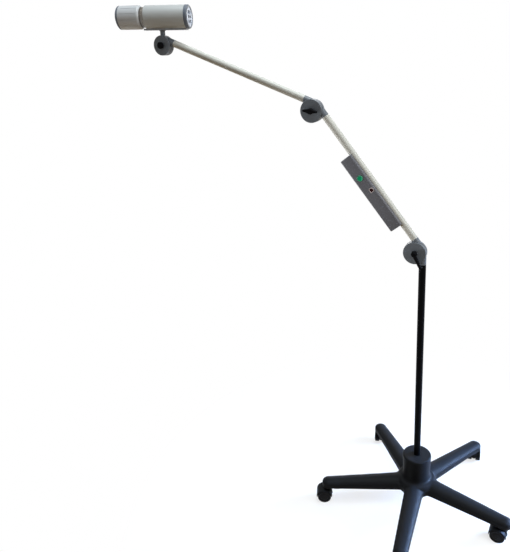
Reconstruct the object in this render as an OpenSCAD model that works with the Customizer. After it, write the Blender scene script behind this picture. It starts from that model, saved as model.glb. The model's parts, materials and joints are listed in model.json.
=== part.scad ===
// Mobile examination lamp: five-legged castor base, mast, two jointed arms and a focusing spot head.
// The origin is on the floor under the mast. The arms lie in the XZ plane and reach towards -X.
// All joint axes of the arms run along Y, and the clamping knobs are on the -Y side.

/* [Base] */
// Distance from the mast axis to each castor's swivel axis
leg_reach = 333; // [290:1:390]
// Direction of the first leg
leg_phase = -15.35; // [-36:0.05:36]
// Width of a leg at its tip
leg_tip_w = 48; // [42:1:56]
// Height of a leg at its tip
leg_tip_h = 30; // [26:1:36]
// Width of a leg at the hub
leg_root_w = 66; // [58:1:74]
// Height of a leg at the hub
leg_root_h = 42; // [38:1:48]
// Rise of a leg's top from the tip to the hub
leg_rise = 14; // [6:1:20]
// Radius of the rounded crotch between two legs
crotch_r = 30; // [20:1:38]
// Thickness of the walls and ribs of the moulded legs
leg_wall = 6; // [4:0.5:8]
// Diameter of the hub cover at its top
hub_d = 104; // [94:1:118]
// Diameter of the hub cover at its foot
hub_foot_d = 97; // [88:1:106]
// Height of the hub cover's top above the floor
hub_top = 206; // [170:1:240]
// Wall of the hub cover
hub_wall = 3; // [2:0.5:5]
// Rounding of the hub cover's top edge
hub_edge_r = 6; // [3:0.5:9]

/* [Castors] */
// Diameter of a castor wheel
wheel_d = 51; // [46:1:54]
// Width of one wheel of a castor's pair
wheel_w = 18; // [14:1:22]
// Thickness of the web between the two wheels
web_w = 12; // [10:1:16]
// Distance from the swivel axis back to the axle
castor_trail = 18; // [14:1:26]
// Height of the leg tips' underside above the floor
castor_h = 64; // [61:1:74]
// Diameter of the swivel stem
stem_d = 11; // [8:0.5:13]
// Diameter of the axle
axle_d = 6; // [4:0.5:10]

/* [Mast] */
// Diameter of the mast tube
pole_d = 24; // [20:1:28]
// Wall of the mast tube
pole_wall = 2; // [1.5:0.5:3]
// Height of the lower joint above the floor
lower_joint_h = 1002; // [800:1:1200]

/* [Joints] */
// Diameter of the lower and middle joint discs
joint_d = 75; // [66:1:90]
// Diameter of the head joint's disc
head_joint_d = 65.6; // [58:0.2:80]
// Gap between the two halves of a joint
seam = 1.6; // [1.2:0.2:3]
// Diameter of the pivot bolts
pivot_d = 8; // [6:0.5:10]
// Rounding of the joint discs' outer edges
disc_edge_r = 2; // [1:0.25:3]
// Diameter of the clamping lever's hub
lever_hub_d = 18; // [14:1:24]
// Reach of the clamping lever's handle from the pivot
lever_reach = 52; // [40:1:64]
// Turn of the lever's handle from straight down
lever_turn = 28; // [0:1:60]
// Span of the wing knob
wing_span = 50; // [40:1:64]
// Diameter of the wing knob's hub
wing_hub_d = 20; // [16:1:24]
// Turn of the wings from level
wing_turn = 7; // [-30:1:30]
// Diameter of the round knob
round_knob_d = 23; // [17:1:28]

/* [Arms] */
// Diameter of the arm tubes
arm_d = 24; // [20:1:28]
// Wall of the arm tubes
arm_wall = 1.5; // [1:0.25:2.5]
// Distance between the lower arm's pivots
lower_arm_len = 567.7; // [480:0.1:680]
// Direction of the lower arm above the +X axis
lower_arm_angle = 127.05; // [110:0.05:150]
// Distance between the upper arm's pivots, along its tube
upper_arm_len = 593; // [480:1:700]
// Direction of the upper arm above the +X axis
upper_arm_angle = 157.9; // [140:0.1:172]
// Reach of the socket at an arm's upper end from its pivot
neck_reach = 42; // [40:1:60]
// Reach of the socket at an arm's lower end from its pivot
foot_reach = 38; // [38:1:56]
// Depth of the spigots in the tubes
spigot_len = 40; // [25:1:60]

/* [Driver box] */
// Distance from the lower joint to the box's near end
box_start = 101; // [90:1:130]
// Length of the box along the arm
box_len = 279; // [240:1:320]
// Depth of the box below the arm's axis
box_drop = 44; // [38:1:56]
// Width of the box from side to side
box_w = 40; // [34:1:50]
// Wall of the box
box_wall = 2.5; // [2:0.25:3.5]
// Rounding of the box's ends
box_edge_r = 6; // [3:0.5:9]
// Diameter of the push button
button_d = 20; // [14:1:24]
// Travel of the push button
button_travel = 2; // [1:0.25:3]
// Place of the button, as a share of the box's length from its lower end
button_share = 0.713; // [0.55:0.001:0.8]
// Side of the square indicator window
window_w = 14; // [10:1:16]
// Place of the indicator window, as a share of the box's length from its lower end
window_share = 0.527; // [0.3:0.001:0.57]

/* [Head] */
// Lean of the head's stem from upright
head_lean = 2.4; // [-15:0.1:30]
// Swivel of the head about its stem
head_turn = 16.2; // [-60:0.1:60]
// Height of the head's axis above the head joint
head_axis_h = 90.7; // [86:0.1:110]
// Diameter of the lamp body and of the focus collar
body_d = 77; // [72:1:84]
// Wall of the lamp body
body_wall = 2.5; // [2:0.25:3]
// Length of the lamp body in front of the stem
body_front = 53.4; // [44:0.2:66]
// Length of the lamp body behind the stem
body_rear = 88.8; // [80:0.2:110]
// Length of the rear ring
rear_ring_len = 11.8; // [8:0.2:16]
// Diameter of the vent grille
grille_d = 62; // [54:1:66]
// Diameter of the stem
head_stem_d = 17; // [13:1:20]
// Width of the rail under the lamp body
rail_w = 28; // [22:1:36]
// Thickness of the rail below the lamp body
rail_h = 3; // [2.5:0.5:5]
// Diameter of the threaded neck
neck_d = 66; // [62:1:68]
// Opening between the body and the focus collar
focus_gap = 14.6; // [12:0.2:22]
// Length of the focus collar
collar_len = 75; // [64:1:90]
// Number of grip grooves round the collar
collar_grooves = 12; // [8:1:18]
// Length of the front bezel
bezel_len = 10; // [8:0.5:14]
// Diameter of the opening in the front bezel
bezel_open_d = 50; // [42:1:54]
// Number of fins of the heat sink
fin_count = 14; // [8:1:20]

/* [Fits] */
// Clearance each side of a turning or sliding fit
run_gap = 0.05; // [0.02:0.01:0.1]
// Clearance each side of a fixed seat
seat_gap = 0.1; // [0.05:0.01:0.2]
// Clearance between pieces that pass each other
pass_gap = 0.4; // [0.3:0.05:1]

/* [Hidden] */
$fn = 72;
eps = 0.01;
far = 400;

// Colours
black_plastic = [0.07, 0.07, 0.08];
mast_black = [0.05, 0.05, 0.06];
cast_grey = [0.34, 0.35, 0.37];
ivory = [0.86, 0.86, 0.82];
shell_grey = [0.78, 0.79, 0.78];
trim_grey = [0.36, 0.38, 0.43];
steel = [0.72, 0.72, 0.72];
iron = [0.30, 0.30, 0.31];

// Base
leg_count = 5;
leg_step = 360 / leg_count;
leg_top = castor_h + leg_tip_h;
root_top = leg_top + leg_rise;
root_bottom = root_top - leg_root_h;
hub_bottom = root_bottom + 3;
root_r = 58;
root_crown = 17;
tip_crown = 11;
tip_step = 0.6;
crotch_side = leg_root_w/2 - 2;
crotch_at = (crotch_side + crotch_r)/sin(leg_step/2);
hub_skirt_r = max(crotch_at - crotch_r - 2, hub_foot_d/2 + 8);
skirt_rim = 1;
hub_seat = root_top + 4;
pole_bottom = hub_bottom + 8;
bush_wall = 4;
bush_flange = 3;
bush_d = pole_d + 2*run_gap + 2*bush_wall;
bolt_d = 10;
bolt_head_d = 18;
bolt_head_h = 7;
plug_len = 34;
plug_end = 6;
socket_depth = 15;
tip_boss_r = leg_tip_w/2 - 2;
pocket_start = root_r + 30;
pocket_end = leg_reach - tip_boss_r - leg_wall/2;
pocket_top = leg_top - 2*leg_wall;
rib_count = 3;
groove_depth = 2;
crotch_h = 0.55*leg_root_h;
boss_room = 4;

// Castors: the direction in which each wheel pair trails
trail_turn = [175, 95, 100, 200, 300];
hood_wall = 3;
hood_gap = 1.2;
hood_skirt = 3;
hood_r = wheel_d/2 + hood_gap + hood_wall;
wheel_gap = 1;
wheel_in = web_w/2 + wheel_gap;
castor_w = 2*(wheel_in + wheel_w);
boss_r = stem_d/2 + 5.5;
boss_bottom = wheel_d/2 + sqrt(pow(wheel_d/2, 2) - pow(castor_trail - boss_r + 2, 2)) + 2;
boss_top = castor_h - 0.5;
stem_foot = boss_bottom + 2;

// Joints
joint_r = joint_d/2;
head_joint_r = head_joint_d/2;
face_proud = 2.4;
rim_inset = 0.5;
disc_face = arm_d/2 + face_proud;
half_gap = seam/2;
neck_gap = 1;
cap_t = 1.6;
cap_rim = 5;
bolt_cap_d = 2.2*pivot_d;
bolt_cap_t = 4;
knob_grip = 10;
washer_rim = 6;
knob_gap = 0.3;
knob_seat = disc_face + knob_gap;

// Places of the joints
arm_off = joint_r - arm_d/2 - rim_inset;
pole_off = joint_r - pole_d/2 - rim_inset;
head_off = head_joint_r - arm_d/2 - rim_inset;
lower_at = [-pole_off, 0, lower_joint_h];
mid_at = lower_at + lower_arm_len*[cos(lower_arm_angle), 0, sin(lower_arm_angle)];
head_drop = arm_off - head_off;
head_at = mid_at + upper_arm_len*[cos(upper_arm_angle), 0, sin(upper_arm_angle)]
    + head_drop*[sin(upper_arm_angle), 0, -cos(upper_arm_angle)];
pole_neck = 40;
pole_screw_drop = 6;
pole_top = lower_joint_h - pole_neck;
pole_id = pole_d - 2*pole_wall;
arm_id = arm_d - 2*arm_wall;

// Driver box, in the lower arm's frame
box_top = arm_off;
box_bottom = box_top - box_drop;
box_end = box_start + box_len;
button_at = box_start + button_share*box_len;
window_at = box_start + window_share*box_len;
room_top = arm_off - arm_d/2 - seat_gap - box_wall;
room_bottom = box_bottom + box_wall;
room_mid = (room_top + room_bottom)/2;
lip = 1.2;
cover_t = 2.5;
post_d = 6;
screw_d = 3;
screw_head_d = 5.5;
screw_head_h = 1.6;
post_bite = 0.5;
post_inset = box_wall + post_d/2 - post_bite;
board_t = 1.6;
board_y = 4;
board_gap = 0.3;
block_len = 24;
block_h = 14;
block_step = 34;
block_low = 5;
block_top = 2;
button_z = 3;
button_flange = 2;
button_flange_t = 2.5;
button_proud = 1.5;
switch_h = 3;
switch_d = 8;
plunger_d = 6;
button_floor = box_w/2 - box_wall - 2*pass_gap - button_flange_t - button_travel;
window_t = 2.1;
window_hole = window_w + 2*seat_gap;
window_depth = 1.5;
window_z = box_top - 13.5;
box_chamfer = 5;
cover_corner = 4;
inlet_w = 24;
inlet_h = 14;
inlet_len = 18;
inlet_wall = 2;
pin_d = 2.4;
pin_at = 5;
pin_sink = 4;
saddle_at = [0.2, 0.8];
saddle_d = 4;
nut_room = 3;
box_corner = 4;

// Head, in its own frame: +X to the rear, +Z up the stem
body_r = body_d/2;
bore_r = body_r - body_wall;
rail_bottom = head_axis_h - body_r - rail_h;
rail_front = 8;
stem_flange_h = 3;
stem_flange_d = head_stem_d + 6;
stem_pin_d = 10;
stem_pin_len = rail_h + 2;
neck_wall = 3;
neck_bore_r = neck_d/2 - neck_wall;
thread_pitch = 3;
thread_depth = 0.6;
thread_start = 8;
thread_hidden = 14;
neck_seat = 9;
neck_rim = 6;
collar_rear = -body_front - focus_gap;
collar_front = collar_rear - collar_len;
neck_front = collar_rear - 44;
focus_in = 12;
focus_out = 8;
cell_flange_t = 8;
cell_flange_rear = neck_front - focus_in - 2;
cell_flange_r = neck_d/2 + 2;
cell_wall = 3.5;
cell_rear = neck_front + 26;
cell_front = cell_flange_rear - cell_flange_t;
lens_r = neck_bore_r - 3;
lens_t = 9;
lens_rear = cell_front + lens_t + 1;
groove_d = 2.6;
groove_sink = 0.9;
groove_start = 6;
groove_end = 8;
bezel_face_r = body_r - 5;
sink_front = 22;
sink_rear = body_rear - 6;
sink_core_r = 14;
fin_t = 2;
led_t = 5;
led_r = 24;
led_dome_r = 8;
slot_w = 12;
slot_h = 11;
slot_gap = 4;
slot_corner = 1.5;
grille_t = 3;
grille_sink = 1;
grille_ledge = 3;
ring_spigot = 5;
grille_front = body_rear + rear_ring_len - grille_t - grille_sink;
sink_gap = 0.3;
sink_bore_r = 4;
sink_plate = 4;

// Round bar along X
module x_bar(d, from, to, z = 0, y = 0) {
    translate([from, y, z]) rotate([0, 90, 0]) cylinder(d = d, h = to - from);
}

// Round bar along Y
module y_bar(d, from, to) {
    translate([0, from, 0]) rotate([-90, 0, 0]) cylinder(d = d, h = to - from);
}

// Rectangle with rounded corners
module round_rect(w, h, r) {
    translate([r, 0]) square([w - 2*r, h]);
    translate([0, r]) square([w, h - 2*r]);
    for (x = [r, w - r], y = [r, h - r]) translate([x, y]) circle(r, $fn = 32);
}

// Turned disc with one rounded edge
module edge_disc(r, h, edge) {
    rotate_extrude() {
        square([r - edge, h]);
        square([r, h - edge]);
        translate([r - edge, h - edge]) circle(edge, $fn = 32);
    }
}

// Frames of the arms, the mast's joint and the head. In an arm's frame X runs along the arm,
// Z points to its outer side and +Y to the knob side.
module arm_frame(at, angle) {
    translate(at) rotate([0, -angle, 0]) rotate([180, 0, 0]) children();
}
module lower_arm_frame() { arm_frame(lower_at, lower_arm_angle) children(); }
module upper_arm_frame() { arm_frame(mid_at, upper_arm_angle) children(); }
module arm_end(len, drop) { translate([len, 0, drop]) rotate([0, 0, 180]) children(); }
module yoke_frame() { translate(head_at) rotate([0, head_lean, 0]) children(); }
module head_frame() { yoke_frame() rotate([0, 0, head_turn]) children(); }
module head_axis() { head_frame() translate([0, 0, head_axis_h]) children(); }
module leg_frame(i) { rotate([0, 0, leg_phase + i*leg_step]) children(); }
module castor_frame(i) {
    a = leg_phase + i*leg_step;
    translate([leg_reach*cos(a), leg_reach*sin(a), 0]) rotate([0, 0, trail_turn[i]]) children();
}
module axle_frame(i) { castor_frame(i) translate([castor_trail, 0, wheel_d/2]) children(); }

// Radius of an arc that drops by the given depth over half a width
function arc_r(half, drop) = (half*half + drop*drop)/(2*drop);

// One leg: tapered in plan and in side view, under a crowned top, with a domed tip
module leg_form() {
    w0 = leg_root_w/2;
    w1 = leg_tip_w/2;
    crown0 = arc_r(w0, root_crown);
    crown1 = arc_r(w1, tip_crown);
    run = leg_reach - root_r;
    sink = (root_top - crown0) - (leg_top - crown1);
    over = 0.1;
    slim = over*(crown0 - crown1);
    intersection() {
        linear_extrude(far)
            polygon([[root_r, -w0], [leg_reach, -w1], [leg_reach, w1], [root_r, w0]]);
        translate([0, far/2, 0]) rotate([90, 0, 0]) linear_extrude(far)
            polygon([[root_r - 1, root_bottom], [leg_reach, castor_h + tip_step],
                [leg_reach, far], [root_r - 1, far]]);
        translate([root_r, 0, root_top - crown0]) rotate([0, 90 + atan(sink/run), 0])
            translate([0, 0, -over*run])
                cylinder(r1 = crown0 + slim, r2 = crown1 - slim, h = (1 + 2*over)*run);
    }
    translate([leg_reach, 0, castor_h]) intersection() {
        cylinder(r = w1 + tip_step/2, h = leg_tip_h + 1);
        translate([0, 0, leg_tip_h - crown1]) sphere(crown1 + tip_step/2);
    }
}

// Open underside of a leg, with cross ribs left standing
module leg_pocket() {
    run = pocket_end - pocket_start;
    w0 = leg_root_w/2 - leg_wall - 2;
    w1 = leg_tip_w/2 - leg_wall;
    difference() {
        translate([0, 0, root_bottom - 20]) linear_extrude(pocket_top - root_bottom + 20)
            polygon([[pocket_start, -w0], [pocket_end, -w1], [pocket_end, w1], [pocket_start, w0]]);
        for (k = [1:rib_count])
            translate([pocket_start + k*run/(rib_count + 1) - leg_wall/4, -leg_root_w/2, 0])
                cube([leg_wall/2, leg_root_w, root_top]);
    }
}

// Rounded web that fills the corner between two legs
module leg_crotch() {
    half = leg_step/2;
    side = crotch_side - 4;
    run = crotch_at*cos(half);
    x = run*cos(half) + side*sin(half);
    y = run*sin(half) - side*cos(half);
    difference() {
        polygon([[x/3, -y/3], [x, -y], [x, y], [x/3, y/3]]);
        translate([crotch_at, 0]) circle(crotch_r);
    }
}

module base_star() {
    skirt = hub_skirt_r - hub_foot_d/2;
    color(black_plastic) difference() {
        union() {
            for (i = [0:leg_count - 1]) leg_frame(i) leg_form();
            for (i = [0:leg_count - 1]) leg_frame(i + 0.5) translate([0, 0, hub_bottom + 1])
                linear_extrude(crotch_h) leg_crotch();
            rotate_extrude() difference() {
                translate([0, hub_bottom]) square([hub_skirt_r, hub_seat - hub_bottom]);
                translate([hub_skirt_r + eps, hub_seat + eps]) circle(skirt - skirt_rim);
            }
        }
        for (i = [0:leg_count - 1]) leg_frame(i) {
            leg_pocket();
            translate([leg_reach, 0, castor_h - far]) cylinder(r = boss_r + boss_room, h = far);
            translate([leg_reach, 0, castor_h - 1])
                cylinder(d = stem_d + 2*seat_gap, h = socket_depth + 1);
        }
        translate([0, 0, pole_bottom - bush_flange]) cylinder(d = bush_d + 2*seat_gap, h = far);
        translate([0, 0, hub_bottom - 1]) cylinder(d = bolt_d + 2*pass_gap, h = far);
        translate([0, 0, hub_seat - groove_depth]) difference() {
            cylinder(d = hub_foot_d + 2*seat_gap, h = far);
            translate([0, 0, -eps])
                cylinder(d = hub_foot_d - 2*hub_wall - 2*seat_gap, h = groove_depth + eps);
        }
    }
}

module castor_stems() {
    color(steel) for (i = [0:leg_count - 1]) castor_frame(i) {
        translate([0, 0, castor_h]) cylinder(d = stem_d, h = socket_depth - seat_gap);
        translate([0, 0, stem_foot]) cylinder(d = stem_d - 1, h = castor_h - stem_foot + eps);
    }
}

// Cast ring that keeps the lamp from tipping, on the star's centre inside the cover
module ballast_weight() {
    top = hub_top - hub_wall - 4;
    foot_r = hub_foot_d/2 - hub_wall - 1;
    color(iron) translate([0, 0, hub_seat]) rotate_extrude() difference() {
        square([foot_r, top - hub_seat]);
        translate([-eps, -eps]) square([bush_d/2 + 1, far]);
        translate([foot_r, top - hub_seat]) circle(3, $fn = 4);
    }
}

module hub_cover() {
    h = hub_top - hub_seat + groove_depth;
    r0 = hub_foot_d/2;
    r1 = hub_d/2;
    color(black_plastic) translate([0, 0, hub_seat - groove_depth]) rotate_extrude() difference() {
        union() {
            polygon([[0, 0], [r0, 0], [r1, h - hub_edge_r], [r1 - hub_edge_r, h - hub_edge_r],
                [r1 - hub_edge_r, h], [0, h]]);
            translate([r1 - hub_edge_r, h - hub_edge_r]) circle(hub_edge_r, $fn = 32);
        }
        polygon([[-1, -1], [r0 - hub_wall, -1], [r0 - hub_wall, 0], [r1 - hub_wall - 1, h - hub_wall - 3],
            [r1 - hub_wall - 4, h - hub_wall], [-1, h - hub_wall]]);
        translate([-1, 0]) square([pole_d/2 + pass_gap + 1, far]);
    }
}

// Flanged cup in which the mast turns
module pole_bush() {
    color(shell_grey) difference() {
        translate([0, 0, pole_bottom - bush_flange])
            cylinder(d = bush_d, h = hub_top - hub_wall - bush_flange - pole_bottom);
        translate([0, 0, pole_bottom - run_gap]) cylinder(d = pole_d + 2*run_gap, h = far);
        cylinder(d = bolt_d + 2*pass_gap, h = far);
    }
}

// Hood of a castor: web between the wheels, arched cover over them and the swivel boss
module castor_hood(i) {
    web_r = wheel_d/2 - 4;
    color(black_plastic) difference() {
        union() {
            axle_frame(i) difference() {
                union() {
                    y_bar(2*hood_r, -castor_w/2, castor_w/2);
                    translate([-castor_trail, -web_w/2, 0])
                        cube([castor_trail, web_w, boss_bottom + hood_wall - wheel_d/2]);
                }
                difference() {
                    y_bar(2*(hood_r - hood_wall), -castor_w, castor_w);
                    y_bar(2*hood_r, -web_w/2, web_w/2);
                }
                difference() {
                    translate([-hood_r - 1, -castor_w, -hood_r - 1])
                        cube([2*hood_r + 2, 2*castor_w, hood_r + 1 + hood_skirt]);
                    y_bar(2*web_r, -web_w/2, web_w/2);
                }
                y_bar(axle_d + 2*seat_gap, -castor_w, castor_w);
            }
            castor_frame(i) translate([0, 0, boss_bottom]) cylinder(r = boss_r, h = boss_top - boss_bottom);
        }
        castor_frame(i) translate([0, 0, stem_foot - 0.5]) cylinder(d = stem_d - 1 + 2*run_gap, h = far);
    }
}

module castor_axle(i) {
    color(steel) axle_frame(i) y_bar(axle_d, -castor_w/2 + 1, castor_w/2 - 1);
}

// Two wheels of one castor, with rounded treads and dished outer faces
module castor_wheels(i) {
    r = wheel_d/2;
    tread = 3;
    dish = 2;
    color(black_plastic) axle_frame(i) for (s = [-1, 1]) rotate([-90*s, 0, 0])
        translate([0, 0, wheel_in]) rotate_extrude() difference() {
            union() {
                square([r - tread, wheel_w]);
                translate([0, tread]) square([r, wheel_w - 2*tread]);
                for (z = [tread, wheel_w - tread]) translate([r - tread, z]) circle(tread, $fn = 32);
            }
            translate([-1, -1]) square([axle_d/2 + run_gap + 1, wheel_w + 2]);
            translate([axle_d/2 + 4, wheel_w - dish]) square([r - 6 - axle_d/2 - 4, dish + 1]);
        }
}

module pole_tube() {
    color(mast_black) difference() {
        translate([0, 0, pole_bottom]) cylinder(d = pole_d, h = pole_top - pole_bottom);
        cylinder(d = pole_id, h = far*10);
        translate([0, 0, pole_top - pole_screw_drop]) rotate([90, 0, 0])
            cylinder(d = screw_d, h = pole_d);
    }
}

// Threaded plug in the mast's foot
module pole_plug() {
    color(steel) translate([0, 0, pole_bottom]) difference() {
        cylinder(d = pole_id - 2*seat_gap, h = plug_len);
        translate([0, 0, -eps]) cylinder(d = bolt_d + 2*seat_gap, h = plug_len - plug_end);
    }
}

// Bolt that holds the mast down from under the star
module pole_bolt() {
    color(steel) union() {
        translate([0, 0, hub_bottom - bolt_head_h - run_gap])
            cylinder(d = bolt_head_d, h = bolt_head_h, $fn = 6);
        translate([0, 0, hub_bottom - run_gap - eps])
            cylinder(d = bolt_d, h = pole_bottom - hub_bottom + plug_len - 2*plug_end);
    }
}

// One half of a joint: side 1 lies on +Y, side -1 on -Y
module half_disc(r, side) {
    rotate([-90*side, 0, 0]) translate([0, 0, half_gap])
        edge_disc(r, disc_face - half_gap, disc_edge_r);
}

// Space that the other half of the joint turns in
module half_room(r, side) {
    y_bar(2*(r + neck_gap), side > 0 ? -far : -half_gap, side > 0 ? half_gap : far);
}

// Casting of a tube's end: half disc, neck along its rim, and the spigot in the tube
module casting(r, bar_d, reach, side, grip_d) {
    z = r - bar_d/2 - rim_inset;
    half_disc(r, side);
    difference() {
        x_bar(bar_d, 0, reach, z);
        half_room(r, side);
    }
    x_bar(grip_d - 2*seat_gap, reach - 1, reach + spigot_len, z);
}

// Bolt hole and cap recess of the half that holds the bolt's head
module bolt_side_cuts(r, side) {
    y_bar(pivot_d + 2*seat_gap, -far, far);
    rotate([-90*side, 0, 0]) {
        translate([0, 0, disc_face - cap_t]) cylinder(r = r - cap_rim, h = far);
        translate([0, 0, disc_face - cap_t - bolt_cap_t])
            cylinder(d = bolt_cap_d + 2*seat_gap, h = far);
    }
}

// Running bore of the half that turns about the bolt
module knob_side_cuts() {
    y_bar(pivot_d + 2*run_gap, -far, far);
}

module pivot_bolt() {
    head_seat = disc_face - cap_t - bolt_cap_t;
    rotate([-90, 0, 0]) translate([0, 0, head_seat]) cylinder(d = bolt_cap_d, h = bolt_cap_t);
    y_bar(pivot_d, -disc_face - knob_grip, head_seat + eps);
}

module friction_washer(r) {
    difference() {
        y_bar(2*(r - washer_rim), -half_gap + run_gap, half_gap);
        y_bar(pivot_d + 2*seat_gap, -far, far);
    }
}

module joint_cap(r) {
    y_bar(2*(r - cap_rim - seat_gap), disc_face - cap_t, disc_face);
}

module pole_head() {
    color(cast_grey) translate(lower_at) rotate([0, 90, 0]) difference() {
        casting(joint_r, pole_d, pole_neck, -1, pole_id);
        knob_side_cuts();
        translate([pole_neck + pole_screw_drop, 0, pole_off]) rotate([90, 0, 0])
            cylinder(d = screw_d, h = pole_d);
    }
}

// Screw that fixes the casting in the mast's top
module pole_screw() {
    color(steel) translate([0, 0, pole_top - pole_screw_drop]) rotate([90, 0, 0]) {
        translate([0, 0, pole_d/4]) cylinder(d = screw_d - 2*seat_gap, h = pole_d/4);
        translate([0, 0, pole_d/2]) cylinder(d = screw_head_d, h = screw_head_h);
    }
}

module knob_bore() {
    y_bar(pivot_d + 2*run_gap, -knob_seat - knob_grip, 0);
}

// Clamping lever on the lower joint: stepped hub and a handle that tapers to its end
module clamp_lever() {
    hub_h = 15;
    root_ball = 13;
    tip_ball = 10;
    lift = 3;
    color(black_plastic) translate(lower_at) difference() {
        union() {
            rotate([90, 0, 0]) translate([0, 0, knob_seat]) edge_disc(lever_hub_d/2, hub_h, 3);
            rotate([0, -lever_turn, 0]) hull() {
                translate([0, -knob_seat - hub_h + root_ball/2, -2]) sphere(d = root_ball, $fn = 24);
                translate([0, -knob_seat - hub_h + tip_ball/2 - lift, -lever_reach + tip_ball/2])
                    sphere(d = tip_ball, $fn = 24);
            }
        }
        knob_bore();
    }
}

module lower_arm_foot() {
    color(cast_grey) lower_arm_frame() difference() {
        casting(joint_r, arm_d, foot_reach, -1, arm_id);
        bolt_side_cuts(joint_r, -1);
    }
}

module lower_arm_tube() {
    color(ivory) lower_arm_frame() difference() {
        x_bar(arm_d, foot_reach, lower_arm_len - neck_reach, arm_off);
        x_bar(arm_id, 0, lower_arm_len, arm_off);
        at_saddles() cylinder(d = saddle_d, h = arm_off);
    }
}

module lower_arm_crown() {
    color(cast_grey) lower_arm_frame() arm_end(lower_arm_len, 0) difference() {
        casting(joint_r, arm_d, neck_reach, 1, arm_id);
        bolt_side_cuts(joint_r, 1);
    }
}

module lower_arm_pivots() {
    color(steel) for (at = [lower_at, mid_at]) translate(at) pivot_bolt();
}

module lower_arm_washers() {
    color(black_plastic) for (at = [lower_at, mid_at]) translate(at) friction_washer(joint_r);
}

module lower_arm_caps() {
    color(cast_grey) for (at = [lower_at, mid_at]) translate(at) joint_cap(joint_r);
}

// Outer form of the driver box: crowned section along the arm, rounded at its ends
module box_form() {
    intersection() {
        translate([box_start, 0, 0]) rotate([90, 0, 90]) linear_extrude(box_len) difference() {
            translate([-box_w/2, box_bottom]) round_rect(box_w, box_drop, box_corner);
            for (s = [-1, 1]) translate([s*box_w/2, box_top]) circle(box_chamfer, $fn = 4);
        }
        translate([box_start, box_w, box_bottom]) rotate([90, 0, 0]) linear_extrude(2*box_w)
            round_rect(box_len, box_drop, box_edge_r);
    }
}

// Places of the four cover screws
module at_posts() {
    post_in = post_d/2 - post_bite;
    for (x = [box_start + post_inset, box_end - post_inset])
        for (z = [room_bottom + post_in, room_top - post_in]) translate([x, 0, z]) children();
}

// Places of the two screws that hold the box to the arm
module at_saddles() {
    for (t = saddle_at) translate([box_start + t*box_len, 0, 0]) children();
}

// Outline of the back cover, sunk into the box's far side
module cover_form(inset, out) {
    w = box_len - 2*box_wall + 2*lip - 2*inset;
    h = room_top - room_bottom + 2*lip - 2*inset;
    translate([box_start + box_wall - lip + inset, -box_w/2 + cover_t, room_bottom - lip + inset])
        rotate([90, 0, 0]) linear_extrude(cover_t + out) round_rect(w, h, cover_corner);
}

module driver_housing() {
    inner = box_len - 2*box_wall;
    color(cast_grey) lower_arm_frame() difference() {
        union() {
            difference() {
                box_form();
                translate([box_start + box_wall, -box_w, room_bottom])
                    cube([inner, 1.5*box_w - box_wall, room_top - room_bottom]);
                cover_form(0, box_w);
            }
            at_posts() y_bar(post_d, -box_w/2 + cover_t, box_w/2 - box_wall + eps);
        }
        x_bar(arm_d + 2*seat_gap, 0, lower_arm_len, arm_off);
        at_posts() y_bar(screw_d, -box_w, 0);
        translate([button_at, 0, button_z]) {
            y_bar(button_d + 2*pass_gap, 0, box_w);
            y_bar(button_d + 2*button_flange + 2*pass_gap, button_floor, box_w/2 - box_wall);
        }
        translate([window_at - window_hole/2, box_w/2 - window_depth, window_z - window_hole/2])
            cube([window_hole, box_w, window_hole]);
        translate([box_start - eps, -inlet_w/2 - seat_gap, room_mid - inlet_h/2 - seat_gap])
            cube([box_wall + 1, inlet_w + 2*seat_gap, inlet_h + 2*seat_gap]);
        at_saddles() cylinder(d = saddle_d, h = arm_off);
    }
}

module driver_back_cover() {
    color(cast_grey) lower_arm_frame() difference() {
        cover_form(seat_gap, 0);
        at_posts() y_bar(screw_d + 2*seat_gap, -box_w, 0);
        at_posts() y_bar(screw_head_d + 2*seat_gap, -box_w, -box_w/2 + screw_head_h);
    }
}

// Four cover screws and the two screws that hold the box to the arm
module driver_screws() {
    reach = 12;
    saddle_len = screw_head_h + box_wall + seat_gap + arm_wall + nut_room;
    color(steel) lower_arm_frame() {
        at_posts() {
            y_bar(screw_head_d, -box_w/2, -box_w/2 + screw_head_h);
            y_bar(screw_d - 2*seat_gap, -box_w/2 + screw_head_h - eps, -box_w/2 + reach);
        }
        at_saddles() translate([0, 0, room_top - screw_head_h]) {
            cylinder(d = 2*saddle_d, h = screw_head_h);
            cylinder(d = saddle_d - 2*seat_gap, h = saddle_len);
        }
    }
}

// Circuit board with the switch that the button presses and the main components
module driver_board() {
    x0 = box_start + 2*post_inset;
    room = room_top - room_bottom;
    color([0.10, 0.30, 0.16]) lower_arm_frame() {
        translate([x0 + inlet_len, board_y, room_bottom + board_gap])
            cube([box_len - 4*post_inset - inlet_len, board_t, room - screw_head_h - 2*board_gap]);
        translate([button_at, 0, button_z])
            y_bar(switch_d, board_y + board_t - eps, board_y + board_t + switch_h);
        for (k = [0:2])
            translate([x0 + inlet_len + block_h + k*block_step, board_y - block_h, room_bottom + block_low])
                cube([block_len, block_h + eps, room - 2*block_low - block_top]);
    }
}

module power_button() {
    wall_in = box_w/2 - box_wall;
    root = wall_in - 1;
    rest = board_y + board_t + switch_h + button_travel + knob_gap;
    flange_front = wall_in - pass_gap;
    color([0.08, 0.55, 0.33]) lower_arm_frame() translate([button_at, 0, button_z]) {
        rotate([-90, 0, 0]) translate([0, 0, root])
            edge_disc(button_d/2, box_w/2 + button_proud - root, 1);
        y_bar(button_d + 2*button_flange, flange_front - button_flange_t, flange_front);
        y_bar(plunger_d, rest, wall_in - button_flange_t);
    }
}

module indicator_window() {
    color([0.35, 0.06, 0.07]) lower_arm_frame() translate([window_at, 0, window_z])
        translate([-window_w/2, box_w/2 - window_depth, -window_w/2]) cube([window_w, window_t, window_w]);
}

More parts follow.
